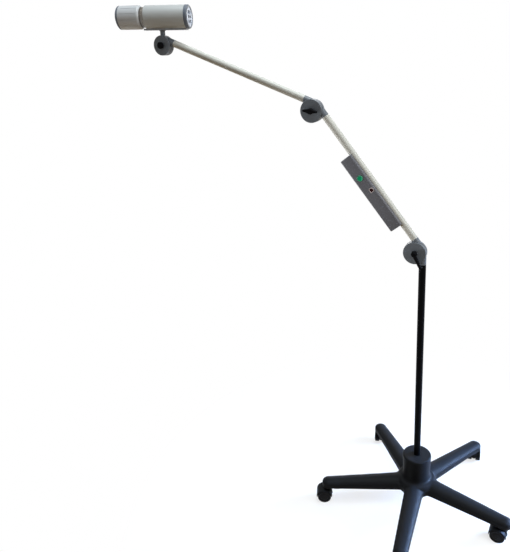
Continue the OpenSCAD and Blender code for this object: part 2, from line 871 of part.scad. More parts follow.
// Recessed appliance inlet in the end of the box
module mains_inlet() {
    color(black_plastic) lower_arm_frame() translate([box_start, 0, room_mid]) {
        difference() {
            translate([0, -inlet_w/2, -inlet_h/2]) cube([inlet_len, inlet_w, inlet_h]);
            translate([-1, -inlet_w/2 + inlet_wall, -inlet_h/2 + inlet_wall])
                cube([inlet_len - 2*inlet_wall + 1, inlet_w - 2*inlet_wall, inlet_h - 2*inlet_wall]);
        }
        for (s = [-1, 1]) x_bar(pin_d, pin_sink, inlet_len - inlet_wall, 0, s*pin_at);
    }
}

module upper_arm_foot() {
    color(cast_grey) upper_arm_frame() difference() {
        casting(joint_r, arm_d, foot_reach, 1, arm_id);
        knob_side_cuts();
    }
}

module upper_arm_tube() {
    color(ivory) upper_arm_frame() difference() {
        x_bar(arm_d, foot_reach, upper_arm_len - neck_reach, arm_off);
        x_bar(arm_id, 0, upper_arm_len, arm_off);
    }
}

module upper_arm_crown() {
    color(cast_grey) upper_arm_frame() arm_end(upper_arm_len, head_drop) difference() {
        casting(head_joint_r, arm_d, neck_reach, 1, arm_id);
        bolt_side_cuts(head_joint_r, 1);
    }
}

// Wing knob on the middle joint
module wing_knob() {
    hub_h = 14;
    wing_h = 10;
    tip_d = 4.5;
    color(black_plastic) translate(mid_at) rotate([0, wing_turn, 0]) difference() {
        union() {
            rotate([90, 0, 0]) translate([0, 0, knob_seat]) edge_disc(wing_hub_d/2, hub_h, 2);
            hull() {
                y_bar(wing_hub_d*0.8, -knob_seat - hub_h + 1, -knob_seat - hub_h + wing_h, $fn = 32);
                for (s = [-1, 1]) translate([s*(wing_span - tip_d)/2, 0, 0])
                    y_bar(tip_d, -knob_seat - hub_h, -knob_seat - hub_h + wing_h - 2, $fn = 24);
            }
        }
        knob_bore();
    }
}

module head_pivot() {
    color(steel) translate(head_at) pivot_bolt();
}

module head_washer() {
    color(black_plastic) translate(head_at) friction_washer(head_joint_r);
}

module head_joint_cap() {
    color(cast_grey) translate(head_at) joint_cap(head_joint_r);
}

// Casting that carries the head: half disc, upright stem with a flange, and the swivel pin
module head_yoke() {
    top = rail_bottom - knob_gap;
    color(cast_grey) yoke_frame() difference() {
        union() {
            half_disc(head_joint_r, -1);
            difference() {
                cylinder(d = head_stem_d, h = top);
                half_room(head_joint_r, -1);
            }
            translate([0, 0, top - stem_flange_h])
                cylinder(d1 = head_stem_d, d2 = stem_flange_d, h = stem_flange_h);
            translate([0, 0, top - eps]) cylinder(d = stem_pin_d, h = stem_pin_len);
        }
        knob_side_cuts();
    }
}

module round_knob() {
    h = 13;
    color(black_plastic) translate(head_at) difference() {
        rotate([90, 0, 0]) translate([0, 0, knob_seat]) edge_disc(round_knob_d/2, h, 3);
        knob_bore();
    }
}

// Flat rail under the lamp body, hollowed to fit it, with the bore for the swivel pin
module head_rail() {
    side_h = head_axis_h - sqrt(pow(body_r, 2) - pow(rail_w/2, 2)) - rail_bottom;
    color(trim_grey) head_frame() difference() {
        translate([-body_front - rail_front, -rail_w/2, rail_bottom])
            cube([body_front + rail_front + body_rear, rail_w, side_h]);
        x_bar(body_d + 2*seat_gap, -body_front, far, head_axis_h);
        x_bar(body_d + 2*pass_gap, -far, -body_front, head_axis_h);
        cylinder(d = stem_pin_d + 2*run_gap, h = far);
    }
}

module lamp_body() {
    color(shell_grey) head_axis() difference() {
        x_bar(body_d, -body_front, body_rear);
        x_bar(2*bore_r, -far, far);
        translate([0, 0, -far]) cylinder(d = stem_pin_d + 2*pass_gap, h = far);
    }
}

module rear_ring() {
    color(trim_grey) head_axis() rotate([0, 90, 0]) difference() {
        union() {
            translate([0, 0, body_rear]) edge_disc(body_r, rear_ring_len, 4);
            translate([0, 0, body_rear - ring_spigot])
                cylinder(r = bore_r - seat_gap, h = ring_spigot + eps);
        }
        cylinder(d = grille_d - 2*grille_ledge, h = far);
        translate([0, 0, grille_front]) cylinder(d = grille_d + 2*seat_gap, h = far);
    }
}

// Vent grille in the rear ring: two columns of slots
module rear_grille() {
    color(shell_grey) head_axis() rotate([0, 90, 0]) translate([0, 0, grille_front]) difference() {
        cylinder(d = grille_d, h = grille_t);
        for (row = [-1:1], col = [-1, 1])
            translate([row*(slot_h + slot_gap) - slot_h/2, col*(slot_w + slot_gap)/2 - slot_w/2, 0])
                linear_extrude(3*grille_t, center = true) round_rect(slot_h, slot_w, slot_corner);
    }
}

// Finned heat sink behind the lamp module
module heat_sink() {
    color(steel) head_axis() rotate([0, 90, 0]) translate([0, 0, sink_front]) {
        linear_extrude(sink_rear - sink_front) difference() {
            union() {
                circle(sink_core_r);
                for (k = [0:fin_count - 1]) rotate(k*360/fin_count)
                    translate([0, -fin_t/2]) square([bore_r - sink_gap, fin_t]);
            }
            circle(sink_bore_r);
        }
        cylinder(r = bore_r - sink_gap, h = sink_plate);
    }
}

module led_module() {
    color([0.92, 0.88, 0.62]) head_axis() rotate([0, 90, 0]) translate([0, 0, sink_front - led_t]) {
        cylinder(r = led_r, h = led_t);
        intersection() {
            sphere(led_dome_r);
            translate([-far/2, -far/2, -far]) cube(far + eps);
        }
    }
}

// Threaded tube fixed in the front of the lamp body, on which the focus collar screws
module focus_neck() {
    rear = -body_front + neck_seat;
    turns = floor((focus_gap + thread_hidden)/thread_pitch);
    color(trim_grey) head_axis() rotate([0, 90, 0]) rotate_extrude() difference() {
        union() {
            translate([neck_bore_r, neck_front]) square([neck_wall, rear - neck_front]);
            translate([neck_bore_r, rear - neck_rim]) square([bore_r - seat_gap - neck_bore_r, neck_rim]);
        }
        for (k = [0:turns - 1]) translate([neck_d/2, collar_rear - thread_start + k*thread_pitch])
            circle(thread_depth, $fn = 4);
    }
}

// Sliding cell that carries the lens
module lens_cell() {
    color(black_plastic) head_axis() rotate([0, 90, 0]) rotate_extrude() difference() {
        union() {
            translate([0, cell_front]) square([neck_bore_r - run_gap, cell_rear - cell_front]);
            translate([0, cell_front]) square([cell_flange_r, cell_flange_t]);
        }
        translate([-1, cell_front - 1]) square([neck_bore_r - cell_wall + 1, far]);
        translate([-1, cell_front - 1]) square([lens_r + seat_gap + 1, lens_rear - cell_front + 1]);
    }
}

// Lens with a domed face
module lens() {
    bulge = 5;
    dome_r = (pow(lens_r - 3, 2) + pow(bulge, 2))/(2*bulge);
    color([0.85, 0.92, 0.95]) head_axis() rotate([0, 90, 0]) translate([0, 0, lens_rear - lens_t]) {
        translate([0, 0, bulge]) cylinder(r = lens_r, h = lens_t - bulge);
        intersection() {
            translate([0, 0, dome_r]) sphere(dome_r);
            cylinder(r = lens_r - 3, h = bulge + eps);
        }
    }
}

// Focus collar: grip tube with a rounded rear shoulder and long grooves
module focus_collar() {
    edge = 5;
    step_at = cell_flange_rear + sink_gap;
    color(shell_grey) head_axis() rotate([0, 90, 0]) difference() {
        translate([0, 0, collar_front]) edge_disc(body_r, collar_len, edge);
        translate([0, 0, -far]) cylinder(d = neck_d + 2*pass_gap, h = 2*far);
        translate([0, 0, collar_front - far])
            cylinder(r = cell_flange_r + run_gap, h = far + step_at - collar_front);
        for (k = [0:collar_grooves - 1]) rotate((k + 0.5)*360/collar_grooves)
            translate([body_r + groove_d/2 - groove_sink, 0, collar_front + groove_end])
                cylinder(d = groove_d, h = collar_len - groove_end - groove_start, $fn = 24);
    }
}

// Front bezel with a conical face and the ring that holds the lens cell in the collar
module front_bezel() {
    face = bezel_face_r;
    lip_r = bezel_open_d/2;
    mouth_r = lip_r + 3;
    color(trim_grey) head_axis() rotate([0, 90, 0]) translate([0, 0, collar_front]) rotate_extrude()
    difference() {
        union() {
            polygon([[0, -bezel_len], [face, -bezel_len], [body_r, -bezel_len/2], [body_r, 0], [0, 0]]);
            square([cell_flange_r - seat_gap, cell_front - sink_gap - collar_front]);
        }
        polygon([[-1, far], [-1, -far], [mouth_r, -far], [mouth_r, -bezel_len], [lip_r, 0], [lip_r, far]]);
    }
}

base_star();
castor_stems();
ballast_weight();
hub_cover();
pole_bush();
for (i = [0:leg_count - 1]) {
    castor_hood(i);
    castor_axle(i);
    castor_wheels(i);
}
pole_tube();
pole_plug();
pole_bolt();
pole_head();
pole_screw();
clamp_lever();
lower_arm_foot();
lower_arm_tube();
lower_arm_crown();
lower_arm_pivots();
lower_arm_washers();
lower_arm_caps();
driver_housing();
driver_back_cover();
driver_screws();
driver_board();
power_button();
indicator_window();
mains_inlet();
upper_arm_foot();
upper_arm_tube();
upper_arm_crown();
wing_knob();
head_pivot();
head_washer();
head_joint_cap();
head_yoke();
round_knob();
head_rail();
lamp_body();
rear_ring();
rear_grille();
heat_sink();
led_module();
focus_neck();
lens_cell();
lens();
focus_collar();
front_bezel();
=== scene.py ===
"""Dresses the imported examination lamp: turned and moulded pieces, finishes, light and camera."""

import json
import math

import bpy
from bpy.props import FloatProperty, FloatVectorProperty, IntProperty, PointerProperty
from mathutils import Matrix, Vector


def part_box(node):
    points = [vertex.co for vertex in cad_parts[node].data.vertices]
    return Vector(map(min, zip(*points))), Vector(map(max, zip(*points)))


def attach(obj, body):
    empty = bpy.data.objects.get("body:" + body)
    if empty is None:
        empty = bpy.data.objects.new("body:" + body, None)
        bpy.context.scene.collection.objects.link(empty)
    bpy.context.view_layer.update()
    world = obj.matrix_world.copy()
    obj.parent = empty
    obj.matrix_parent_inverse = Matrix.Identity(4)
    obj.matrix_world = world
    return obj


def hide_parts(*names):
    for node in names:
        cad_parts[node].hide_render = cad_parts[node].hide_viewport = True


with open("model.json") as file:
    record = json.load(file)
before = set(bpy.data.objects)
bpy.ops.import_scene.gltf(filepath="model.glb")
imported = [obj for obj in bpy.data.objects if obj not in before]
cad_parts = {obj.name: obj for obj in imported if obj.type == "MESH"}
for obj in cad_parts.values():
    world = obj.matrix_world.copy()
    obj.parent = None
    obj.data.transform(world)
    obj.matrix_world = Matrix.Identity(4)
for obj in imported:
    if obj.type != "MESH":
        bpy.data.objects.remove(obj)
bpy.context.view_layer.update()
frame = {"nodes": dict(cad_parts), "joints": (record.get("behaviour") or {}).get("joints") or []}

bl_info = {
    "name": "Examination lamp",
    "version": (1, 0, 0),
    "blender": (4, 5, 0),
    "location": "View3D > Sidebar > Lamp",
    "description": "Turned and moulded pieces, finishes, light and camera for the packed examination lamp",
    "category": "Object",
}

NODES = frame["nodes"]
JOINTS = {joint["name"]: joint for joint in frame["joints"]}
CASTORS = range(1, 6)
MM = 0.001
WHITE = (1, 1, 1, 1)

# Millimetres: clearance of a moulding on its seat, and the bore of the lever and knobs over their bolts.
SEAT_GAP = 0.1
BORE = 4.1
BORE_DEPTH = 10

# Metres: the button above the line of the joints, the indicator below the arm's axis.
BUTTON_LIFT = 0.003
WINDOW_DROP = 0.0135

# Outline, in millimetres, of the hollow flare that fairs the hub's foot into the legs.
FLARE = [(44.8, 88), (71, 88), (71, 97, 5), (66, 106.8, 5), (50.2, 109.5, 15), (49, 138), (44.8, 138)]

# Turns that tip a piece's Z over to -Y, and over to +Y.
TIP_BACK = Matrix.Rotation(math.pi / 2, 4, "X")
TIP_AHEAD = Matrix.Rotation(-math.pi / 2, 4, "X")

# Studio lamps: name, place and aim in metres, side in metres, power in watts, tint, opening in degrees.
LAMPS = (
    ("top_softbox", (0.2, -0.1, 6.6), (-0.3, 0, 1.0), 3.0, 315, (0.88, 0.96, 1.0), 180),
    ("key_softbox", (2.8, -0.3, 3.0), (-0.2, 0, 1.0), 1.6, 58, (1, 1, 1), 180),
    ("cool_side", (1.7, 0.9, 0.6), (0.1, 0, 0.0), 1.0, 40, (0.36, 0.56, 1.0), 46),
    ("back_fill", (-1.6, 3.4, 1.9), (-0.4, 0, 1.2), 2.0, 40, (1, 1, 1), 180),
    ("low_fill", (-1.5, -0.5, 0.7), (-0.17, 0, 1.2), 0.5, 0.8, (0.92, 0.96, 1.0), 28),
)

# Strength of the light all round, and the floor's colour in the light it throws back and as it is seen.
AMBIENT = 0.12
FLOOR_BOUNCE = (0.39, 0.275, 0.16, 1)
FLOOR_SEEN = (0.9, 0.9, 0.9, 1)

# The photograph's view: place in metres, yaw, pitch and roll in degrees, then its frame in pixels.
VIEW_PLACE = (0.3040, -1.6602, 1.6047)
VIEW_TURN = (24.01, -19.21, -2.90)
PHOTO_HEIGHT = 552
FOCAL_PIXELS = 538.0
SHIFT_PIXELS = (-45, -26)
SENSOR_WIDTH = 36


def srgb(red, green, blue):
    """Linear colour of three 0 to 255 numbers."""
    def linear(value):
        value /= 255
        return value / 12.92 if value <= 0.04045 else ((value + 0.055) / 1.055) ** 2.4
    return (linear(red), linear(green), linear(blue))


def length(name, text, default):
    """A size in millimetres, kept as a length property in metres."""
    return FloatProperty(name=name, description=text, default=default * MM, unit="LENGTH", precision=4)


def colour(name, text, *rgb):
    """A colour property from three 0 to 255 numbers."""
    return FloatVectorProperty(name=name, description=text, default=srgb(*rgb), size=3, min=0, max=1, subtype="COLOR")


class LampSizes(bpy.types.PropertyGroup):
    """Sizes of the pieces that the dressing adds"""

    star_voxel: length("Star softness", "Grain of the softened star; larger is rounder", 2.4)
    wheel_radius: length("Wheel radius", "Radius of a castor wheel", 25.5)
    wheel_width: length("Wheel width", "Width of one wheel of a pair", 18)
    wheel_inset: length("Wheel inset", "Distance from the castor's middle to a wheel's inner face", 7)
    hood_radius: length("Hood radius", "Outer radius of a castor's hood", 29.7)
    hood_wall: length("Hood wall", "Wall of a castor's hood", 3)
    castor_trail: length("Castor trail", "Distance from the swivel axis to the axle", 18)
    boss_height: length("Boss height", "Height of a castor's swivel boss above its axle", 37.9)
    knob_seat: length("Knob seat", "Distance from the arms' plane to a knob's foot", 14.7)
    lever_reach: length("Lever reach", "Length of the clamp lever's handle from the pivot", 52)
    wing_span: length("Wing span", "Span of the wing knob", 50)
    round_knob: length("Round knob", "Diameter of the round knob", 23)
    box_start: length("Box start", "Distance from the lower joint to the driver box", 101)
    box_length: length("Box length", "Length of the driver box", 279)
    box_width: length("Box width", "Width of the driver box", 40)
    box_drop: length("Box depth", "Depth of the driver box below the arm's axis", 44)
    arm_radius: length("Arm radius", "Radius of the arm tubes", 12)
    arm_offset: length("Arm offset", "Distance from a joint's centre to the arm's axis", 25)
    button_at: length("Button place", "Distance from the lower joint to the push button", 300)
    button_radius: length("Button radius", "Radius of the push button", 10)
    window_at: length("Window place", "Distance from the lower joint to the indicator", 248)
    window_width: length("Window width", "Side of the square indicator", 14)
    body_radius: length("Body radius", "Radius of the lamp body and the collar", 38.5)
    body_front: length("Body front", "Length of the lamp body in front of the stem", 53.4)
    body_rear: length("Body rear", "Length of the lamp body behind the stem", 88.8)
    collar_rear: length("Collar rear", "Distance from the stem to the collar's rear edge", 68)
    collar_length: length("Collar length", "Length of the focus collar", 75)
    bezel_length: length("Bezel length", "Length of the front bezel", 10)
    lens_facets: IntProperty(name="Lens rings", description="Rings of facets on the lens", default=4, min=2, max=6)
    collar_grooves: IntProperty(name="Collar grooves", description="Grip grooves round the collar", default=12, min=6,
                                max=24)


class LampColours(bpy.types.PropertyGroup):
    """Colours of the finishes"""

    black_moulding: colour("Base moulding", "Star, hub cover and castor hoods", 24, 25, 27)
    wheel_black: colour("Wheels", "Castor wheels", 22, 22, 24)
    mast_black: colour("Mast", "Painted mast", 10, 10, 12)
    knob_black: colour("Knobs", "Lever and knobs", 12, 12, 14)
    joint_grey: colour("Joints", "Powder-coated castings", 94, 100, 107)
    box_grey: colour("Driver box", "Grained housing", 88, 88, 94)
    arm_ivory: colour("Arms", "Lacquered tubes", 196, 195, 187)
    head_grey: colour("Lamp body", "Enamelled shell", 176, 178, 177)
    collar_grey: colour("Focus collar", "Moulded grip", 182, 184, 186)
    trim_grey: colour("Trim", "Rear ring and bezel", 98, 105, 116)
    grille_pale: colour("Grille", "Vent grille", 190, 202, 222)
    rail_grey: colour("Rail", "Rail under the lamp body", 150, 154, 162)
    # Heat sink: near black partly as painted shade, for the dark seen through the grille's slots.
    sink_black: colour("Heat sink", "Anodised heat sink", 15, 15, 17)
    neck_metal: colour("Neck", "Threaded neck", 126, 121, 115)
    steel: colour("Steel", "Screws, stems and axles", 176, 176, 174)
    button_green: colour("Button", "Dished face of the push button", 6, 152, 102)
    button_rim: colour("Button rim", "Raised rim of the push button", 76, 160, 126)
    window_red: colour("Indicator", "Indicator window", 40, 4, 8)
    # Indicator frame: a pale rim whose colour is partly a painted highlight where light catches it.
    frame_pale: colour("Indicator frame", "Rim of the indicator", 242, 228, 228)


def place_of(joint):
    """Where a joint of the frame sits."""
    return Vector(JOINTS[joint]["pos_m"])


def axis_of(joint):
    """Direction of a joint's axis."""
    return Vector(JOINTS[joint]["axis"]).normalized()


def seat(origin, x, z):
    """Matrix at origin with its Z along z and its X as near to x as it can be."""
    z = z.normalized()
    y = z.cross(x).normalized()
    matrix = Matrix((y.cross(z), y, z)).transposed().to_4x4()
    matrix.translation = origin
    return matrix


NEAR = Vector((0, -1, 0))
LOWER = place_of("lower_tilt")
MIDDLE = place_of("elbow_tilt")
UPPER = place_of("head_tilt")
STEM = axis_of("head_swivel")
FRONT = axis_of("collar_turn")
HEAD = UPPER + STEM * (place_of("collar_turn") - UPPER).dot(STEM)
ARM_FRAME = seat(LOWER, MIDDLE - LOWER, (MIDDLE - LOWER).cross(NEAR))
HEAD_FRAME = seat(HEAD, STEM, -FRONT)


def leave_edit():
    """Closes a piece that is open for editing."""
    bpy.ops.object.mode_set(mode="OBJECT")


def select_all():
    """Selects the whole of the piece that is open for editing."""
    bpy.ops.mesh.select_all(action="SELECT")


def clear():
    """Leaves edit mode with nothing selected."""
    if bpy.context.object and bpy.context.object.mode != "OBJECT":
        leave_edit()
    bpy.ops.object.select_all(action="DESELECT")


def take(*pieces):
    """Selects these pieces alone, the first one active."""
    clear()
    for piece in pieces:
        piece.select_set(True)
    bpy.context.view_layer.objects.active = pieces[0]


def edit(piece, kind="VERT"):
    """Opens a piece for editing with nothing selected."""
    take(piece)
    bpy.ops.object.mode_set(mode="EDIT")
    bpy.ops.mesh.select_mode(type=kind)
    bpy.ops.mesh.select_all(action="DESELECT")


def named(name):
    """Names the object that was just added."""
    piece = bpy.context.object
    piece.name = piece.data.name = name
    return piece


def pick(piece, kind, test):
    """Selects the faces, edges or vertices that pass a test of their centre and normal."""
    edit(piece, kind)
    leave_edit()
    mesh = piece.data
    if kind == "FACE":
        for face in mesh.polygons:
            face.select = bool(test(face.center, face.normal))
    elif kind == "EDGE":
        for edge in mesh.edges:
            ends = [mesh.vertices[i].co for i in edge.vertices]
            edge.select = bool(test((ends[0] + ends[1]) / 2, (ends[1] - ends[0]).normalized()))
    else:
        for corner in mesh.vertices:
            corner.select = bool(test(corner.co, corner.normal))
    bpy.ops.object.mode_set(mode="EDIT")


def outward():
    """Merges doubles and turns all normals outwards, in edit mode."""
    select_all()
    bpy.ops.mesh.remove_doubles(threshold=1e-6)
    bpy.ops.mesh.normals_make_consistent(inside=False)
    leave_edit()


def modify(piece, kind, **settings):
    """Adds a modifier to a piece and applies it."""
    take(piece)
    modifier = piece.modifiers.new(kind.title(), kind)
    for name, value in settings.items():
        setattr(modifier, name, value)
    bpy.ops.object.modifier_apply(modifier=modifier.name)
    return piece


def smooth(piece, angle=35):
    """Smooth shading, broken at sharp edges."""
    take(piece)
    bpy.ops.object.shade_smooth_by_angle(angle=math.radians(angle))
    return piece


def settle():
    """Takes the selected piece's place into its mesh and leaves its object at the origin."""
    bpy.ops.object.transform_apply(location=True, rotation=True, scale=True)


def put(piece, matrix):
    """Moves a piece's mesh to its place."""
    take(piece)
    piece.matrix_world = matrix
    settle()
    return piece


def drop(*pieces):
    """Deletes forms that have done their work."""
    take(*pieces)
    bpy.ops.object.delete()


def joined(*pieces):
    """Makes several forms one piece."""
    take(*pieces)
    bpy.ops.object.join()
    return pieces[0]


def twin(piece, name):
    """A copy of a piece with its own mesh."""
    copy = piece.copy()
    copy.data = piece.data.copy()
    copy.name = copy.data.name = name
    bpy.context.scene.collection.objects.link(copy)
    return copy


def cut(piece, cutter):
    """Takes a cutter's form out of a piece and deletes the cutter."""
    modify(piece, "BOOLEAN", object=cutter, operation="DIFFERENCE", solver="EXACT")
    drop(cutter)


def rounded(points, cuts=4):
    """Points of an outline whose corners, given as (a, b, radius), are rounded."""
    line = []
    for i, point in enumerate(points):
        corner = Vector(point[:2])
        if len(point) < 3:
            line.append(corner)
            continue
        before = Vector(points[i - 1][:2]) - corner
        after = Vector(points[(i + 1) % len(points)][:2]) - corner
        before = corner + before.normalized() * min(point[2], before.length * 0.49)
        after = corner + after.normalized() * min(point[2], after.length * 0.49)
        for k in range(cuts + 1):
            t = k / cuts
            line.append(before * (1 - t) ** 2 + corner * 2 * t * (1 - t) + after * t ** 2)
    return line


def oblong(wide, tall, *corner):
    """Outline of a rectangle from half its sides and, if given, its corner radius."""
    return [(x, y, *corner) for x, y in ((-wide, -tall), (wide, -tall), (wide, tall), (-wide, tall))]


def drawn_line(name, points):
    """A line drawn by extruding one vertex from point to point."""
    clear()
    bpy.ops.mesh.primitive_plane_add(size=0.01)
    piece = named(name)
    edit(piece)
    select_all()
    bpy.ops.mesh.merge(type="CENTER")
    bpy.ops.transform.translate(value=points[0])
    for a, b in zip(points, points[1:]):
        bpy.ops.mesh.extrude_vertices_move(TRANSFORM_OT_translate={"value": b - a})
    select_all()
    return piece


def turned(name, outline, closed=True, steps=96, angle=math.tau):
    """A piece turned about Z from an outline of (radius, height, corner radius) in millimetres."""
    line = [Vector((p.x * MM, 0, p.y * MM)) for p in rounded(outline)]
    piece = drawn_line(name, line)
    if closed:
        bpy.ops.mesh.edge_face_add()
        bpy.ops.mesh.delete(type="ONLY_FACE")
        select_all()
    bpy.ops.mesh.spin(steps=steps, angle=angle, center=(0, 0, 0), axis=(0, 0, 1))
    outward()
    return smooth(piece)


def prism(name, outline, height):
    """A straight piece along Z from an outline of (x, y, corner radius) in millimetres."""
    line = [Vector((p.x * MM, p.y * MM, 0)) for p in rounded(outline)]
    piece = drawn_line(name, line)
    bpy.ops.mesh.edge_face_add()
    bpy.ops.mesh.extrude_region_move(TRANSFORM_OT_translate={"value": (0, 0, height * MM)})
    outward()
    return piece


class Wire:
    """One output socket of a finish. Arithmetic on it adds Math nodes, node() adds any other node."""

    def __init__(self, tree, socket):
        self.tree = tree
        self.socket = socket

    def node(self, kind, settings, sockets, out=0):
        made = self.tree.nodes.new(kind)
        for name, value in settings.items():
            setattr(made, name, value)
        feed(made, sockets)
        return Wire(self.tree, made.outputs[out])

    def math(self, operation, first, second):
        return self.node("ShaderNodeMath", {"operation": operation}, {0: first, 1: second})

    def __add__(self, other):
        return self.math("ADD", self, other)

    __radd__ = __add__

    def __sub__(self, other):
        return self.math("SUBTRACT", self, other)

    def __rsub__(self, other):
        return self.math("SUBTRACT", other, self)

    def __mul__(self, other):
        return self.math("MULTIPLY", self, other)

    __rmul__ = __mul__

    def noise(self, size, detail, roughness):
        """Noise whose features are about size metres, on this vector."""
        return self.node("ShaderNodeTexNoise", {}, {"Vector": self, "Scale": 1 / size, "Detail": detail,
                                                    "Roughness": roughness})

    def between(self, low, high):
        """0 below low, 1 above high."""
        return self.node("ShaderNodeMapRange", {"clamp": True}, {0: self, 1: low, 2: high, 3: 0.0, 4: 1.0})

    def blend(self, first, second):
        """Colour from first at 0 to second at 1."""
        return self.node("ShaderNodeMix", {"data_type": "RGBA"}, {0: self, 6: first, 7: second}, 2)

    def bump(self, depth, strength):
        """Normal of a surface raised by this height."""
        return self.node("ShaderNodeBump", {}, {"Strength": strength, "Distance": depth, "Height": self})

    def stretched(self, x, y, z):
        """This vector scaled along its axes."""
        return self.node("ShaderNodeMapping", {}, {"Vector": self, "Scale": (x, y, z)})


def shaded(rgb, factor):
    """A colour made lighter or darker, as a shader colour."""
    return tuple(min(1.0, c * factor) for c in rgb) + (1.0,)


def new_finish(name):
    """A material with its shader and the coordinates of the object it is on."""
    material = bpy.data.materials.new(f"{name}_finish")
    material.use_nodes = True
    tree = material.node_tree
    coords = Wire(tree, tree.nodes.new("ShaderNodeTexCoord").outputs["Object"])
    return material, tree.nodes["Principled BSDF"], coords


def feed(node, sockets):
    """Sets or links a node's inputs."""
    for name, value in sockets.items():
        if isinstance(value, Wire):
            value.tree.links.new(value.socket, node.inputs[name])
        else:
            node.inputs[name].default_value = value


def moulded(name, rgb, roughness, grain, depth, spread=0.10, shine=0.5):
    """Grained moulding: spark-eroded grain, slow changes of tone, dull patches from handling."""
    material, shader, coords = new_finish(name)
    fine = coords.noise(grain, 3.0, 0.6)
    slow = coords.noise(0.06, 4.0, 0.6)
    rub = coords.noise(0.018, 5.0, 0.65).between(0.56, 0.74)
    tone = slow.between(0.3, 0.7).blend(shaded(rgb, 1 - spread), shaded(rgb, 1 + spread))
    tone = (rub * 0.25).blend(tone, shaded(rgb, 1 + 3 * spread))
    feed(shader, {
        "Base Color": tone,
        "Roughness": roughness + (slow - 0.5) * 0.16 + (fine - 0.5) * 0.10 + rub * 0.06,
        "Normal": fine.bump(depth, 0.6),
        "Specular IOR Level": shine,
    })
    return material


def coated(name, rgb, roughness, peel, depth, coat, spread=0.03, shine=0.5):
    """Paint: orange peel under a clear gloss, a little dust and faint fading."""
    material, shader, coords = new_finish(name)
    skin = coords.noise(peel, 2.0, 0.5)
    slow = coords.noise(0.09, 3.0, 0.55)
    specks = coords.noise(0.0016, 1.0, 0.5).between(0.70, 0.78)
    tone = slow.between(0.3, 0.7).blend(shaded(rgb, 1 - spread), shaded(rgb, 1 + spread))
    tone = (specks * 0.18).blend(tone, shaded(rgb, 0.8))
    feed(shader, {
        "Base Color": tone,
        "Roughness": roughness + (slow - 0.5) * 0.12 + specks * 0.08,
        "Normal": skin.bump(depth, 0.5),
        "Coat Weight": coat + (slow - 0.5) * coat * 0.4,
        "Coat Roughness": 0.12,
        "Specular IOR Level": shine,
    })
    return material


def bare_metal(name, rgb, roughness, stretch):
    """Machined metal with fine tool lines along one direction."""
    material, shader, coords = new_finish(name)
    lines = coords.stretched(*stretch).noise(0.0012, 4.0, 0.7)
    slow = coords.noise(0.02, 3.0, 0.5)
    tone = lines.between(0.25, 0.75).blend(shaded(rgb, 0.82), shaded(rgb, 1.12))
    feed(shader, {
        "Base Color": tone,
        "Metallic": 1.0,
        "Roughness": roughness + (lines - 0.5) * 0.22 + (slow - 0.5) * 0.12,
        "Normal": lines.bump(0.00004, 0.5),
    })
    return material


def metal_with_painted_shade(name, rgb, roughness, full_shade, no_shade):
    """Turned metal of the neck with painted shade towards the collar, where the collar's shadow falls; the last two
    settings are the distances from the stem where the painted shade is full and where it starts.
    """
    material, shader, coords = new_finish(name)
    along = coords.node("ShaderNodeVectorMath", {"operation": "DOT_PRODUCT"}, {0: coords, 1: FRONT}, 1)
    along = along - HEAD.dot(FRONT)
    thread = along.node("ShaderNodeMath", {"operation": "SINE"}, {0: along * (math.tau / 0.002)})
    mottle = coords.noise(0.004, 4.0, 0.6)
    # Painted shade: the neck grows darker towards the collar, standing in for the collar's shadow on it; the noise only
    # roughens its edge.
    painted_shade = (along + (mottle - 0.5) * 0.004).between(no_shade, full_shade)
    feed(shader, {
        "Base Color": painted_shade.blend(mottle.blend(shaded(rgb, 0.8), shaded(rgb, 1.2)), shaded(rgb, 0.4)),
        "Metallic": 1.0,
        "Roughness": roughness + (mottle - 0.5) * 0.1 + painted_shade * 0.12,
        "Normal": thread.bump(0.00003, 0.4),
    })
    return material


def clear_glass(name, rgb, dusty):
    """Clear pressed glass with faint waves and specks of dust."""
    material, shader, coords = new_finish(name)
    waves = coords.noise(0.006, 2.0, 0.5)
    dust = coords.noise(0.0011, 2.0, 0.5).between(0.66, 0.8)
    feed(shader, {
        "Base Color": dust.blend(shaded(rgb, 1), shaded(dusty, 1)),
        "Transmission Weight": 1.0,
        "IOR": 1.49,
        "Roughness": 0.02 + dust * 0.12,
        "Normal": waves.bump(0.00012, 0.4),
    })
    return material


def lit_plastic(name, rgb, roughness, glow, gloss=0.4):
    """Coloured translucent plastic with a glossy skin."""
    material, shader, coords = new_finish(name)
    cloud = coords.noise(0.004, 3.0, 0.5)
    scuff = coords.noise(0.0009, 2.0, 0.5).between(0.62, 0.8)
    feed(shader, {
        "Base Color": cloud.between(0.3, 0.7).blend(shaded(rgb, 0.85), shaded(rgb, 1.15)),
        "Roughness": roughness + scuff * 0.2,
        "Coat Weight": gloss - scuff * (gloss * 0.75),
        "Coat Roughness": 0.1,
        "Specular IOR Level": gloss,
        "Emission Color": cloud.blend(shaded(rgb, 0.9), shaded(rgb, 1.1)),
        "Emission Strength": glow,
    })
    return material


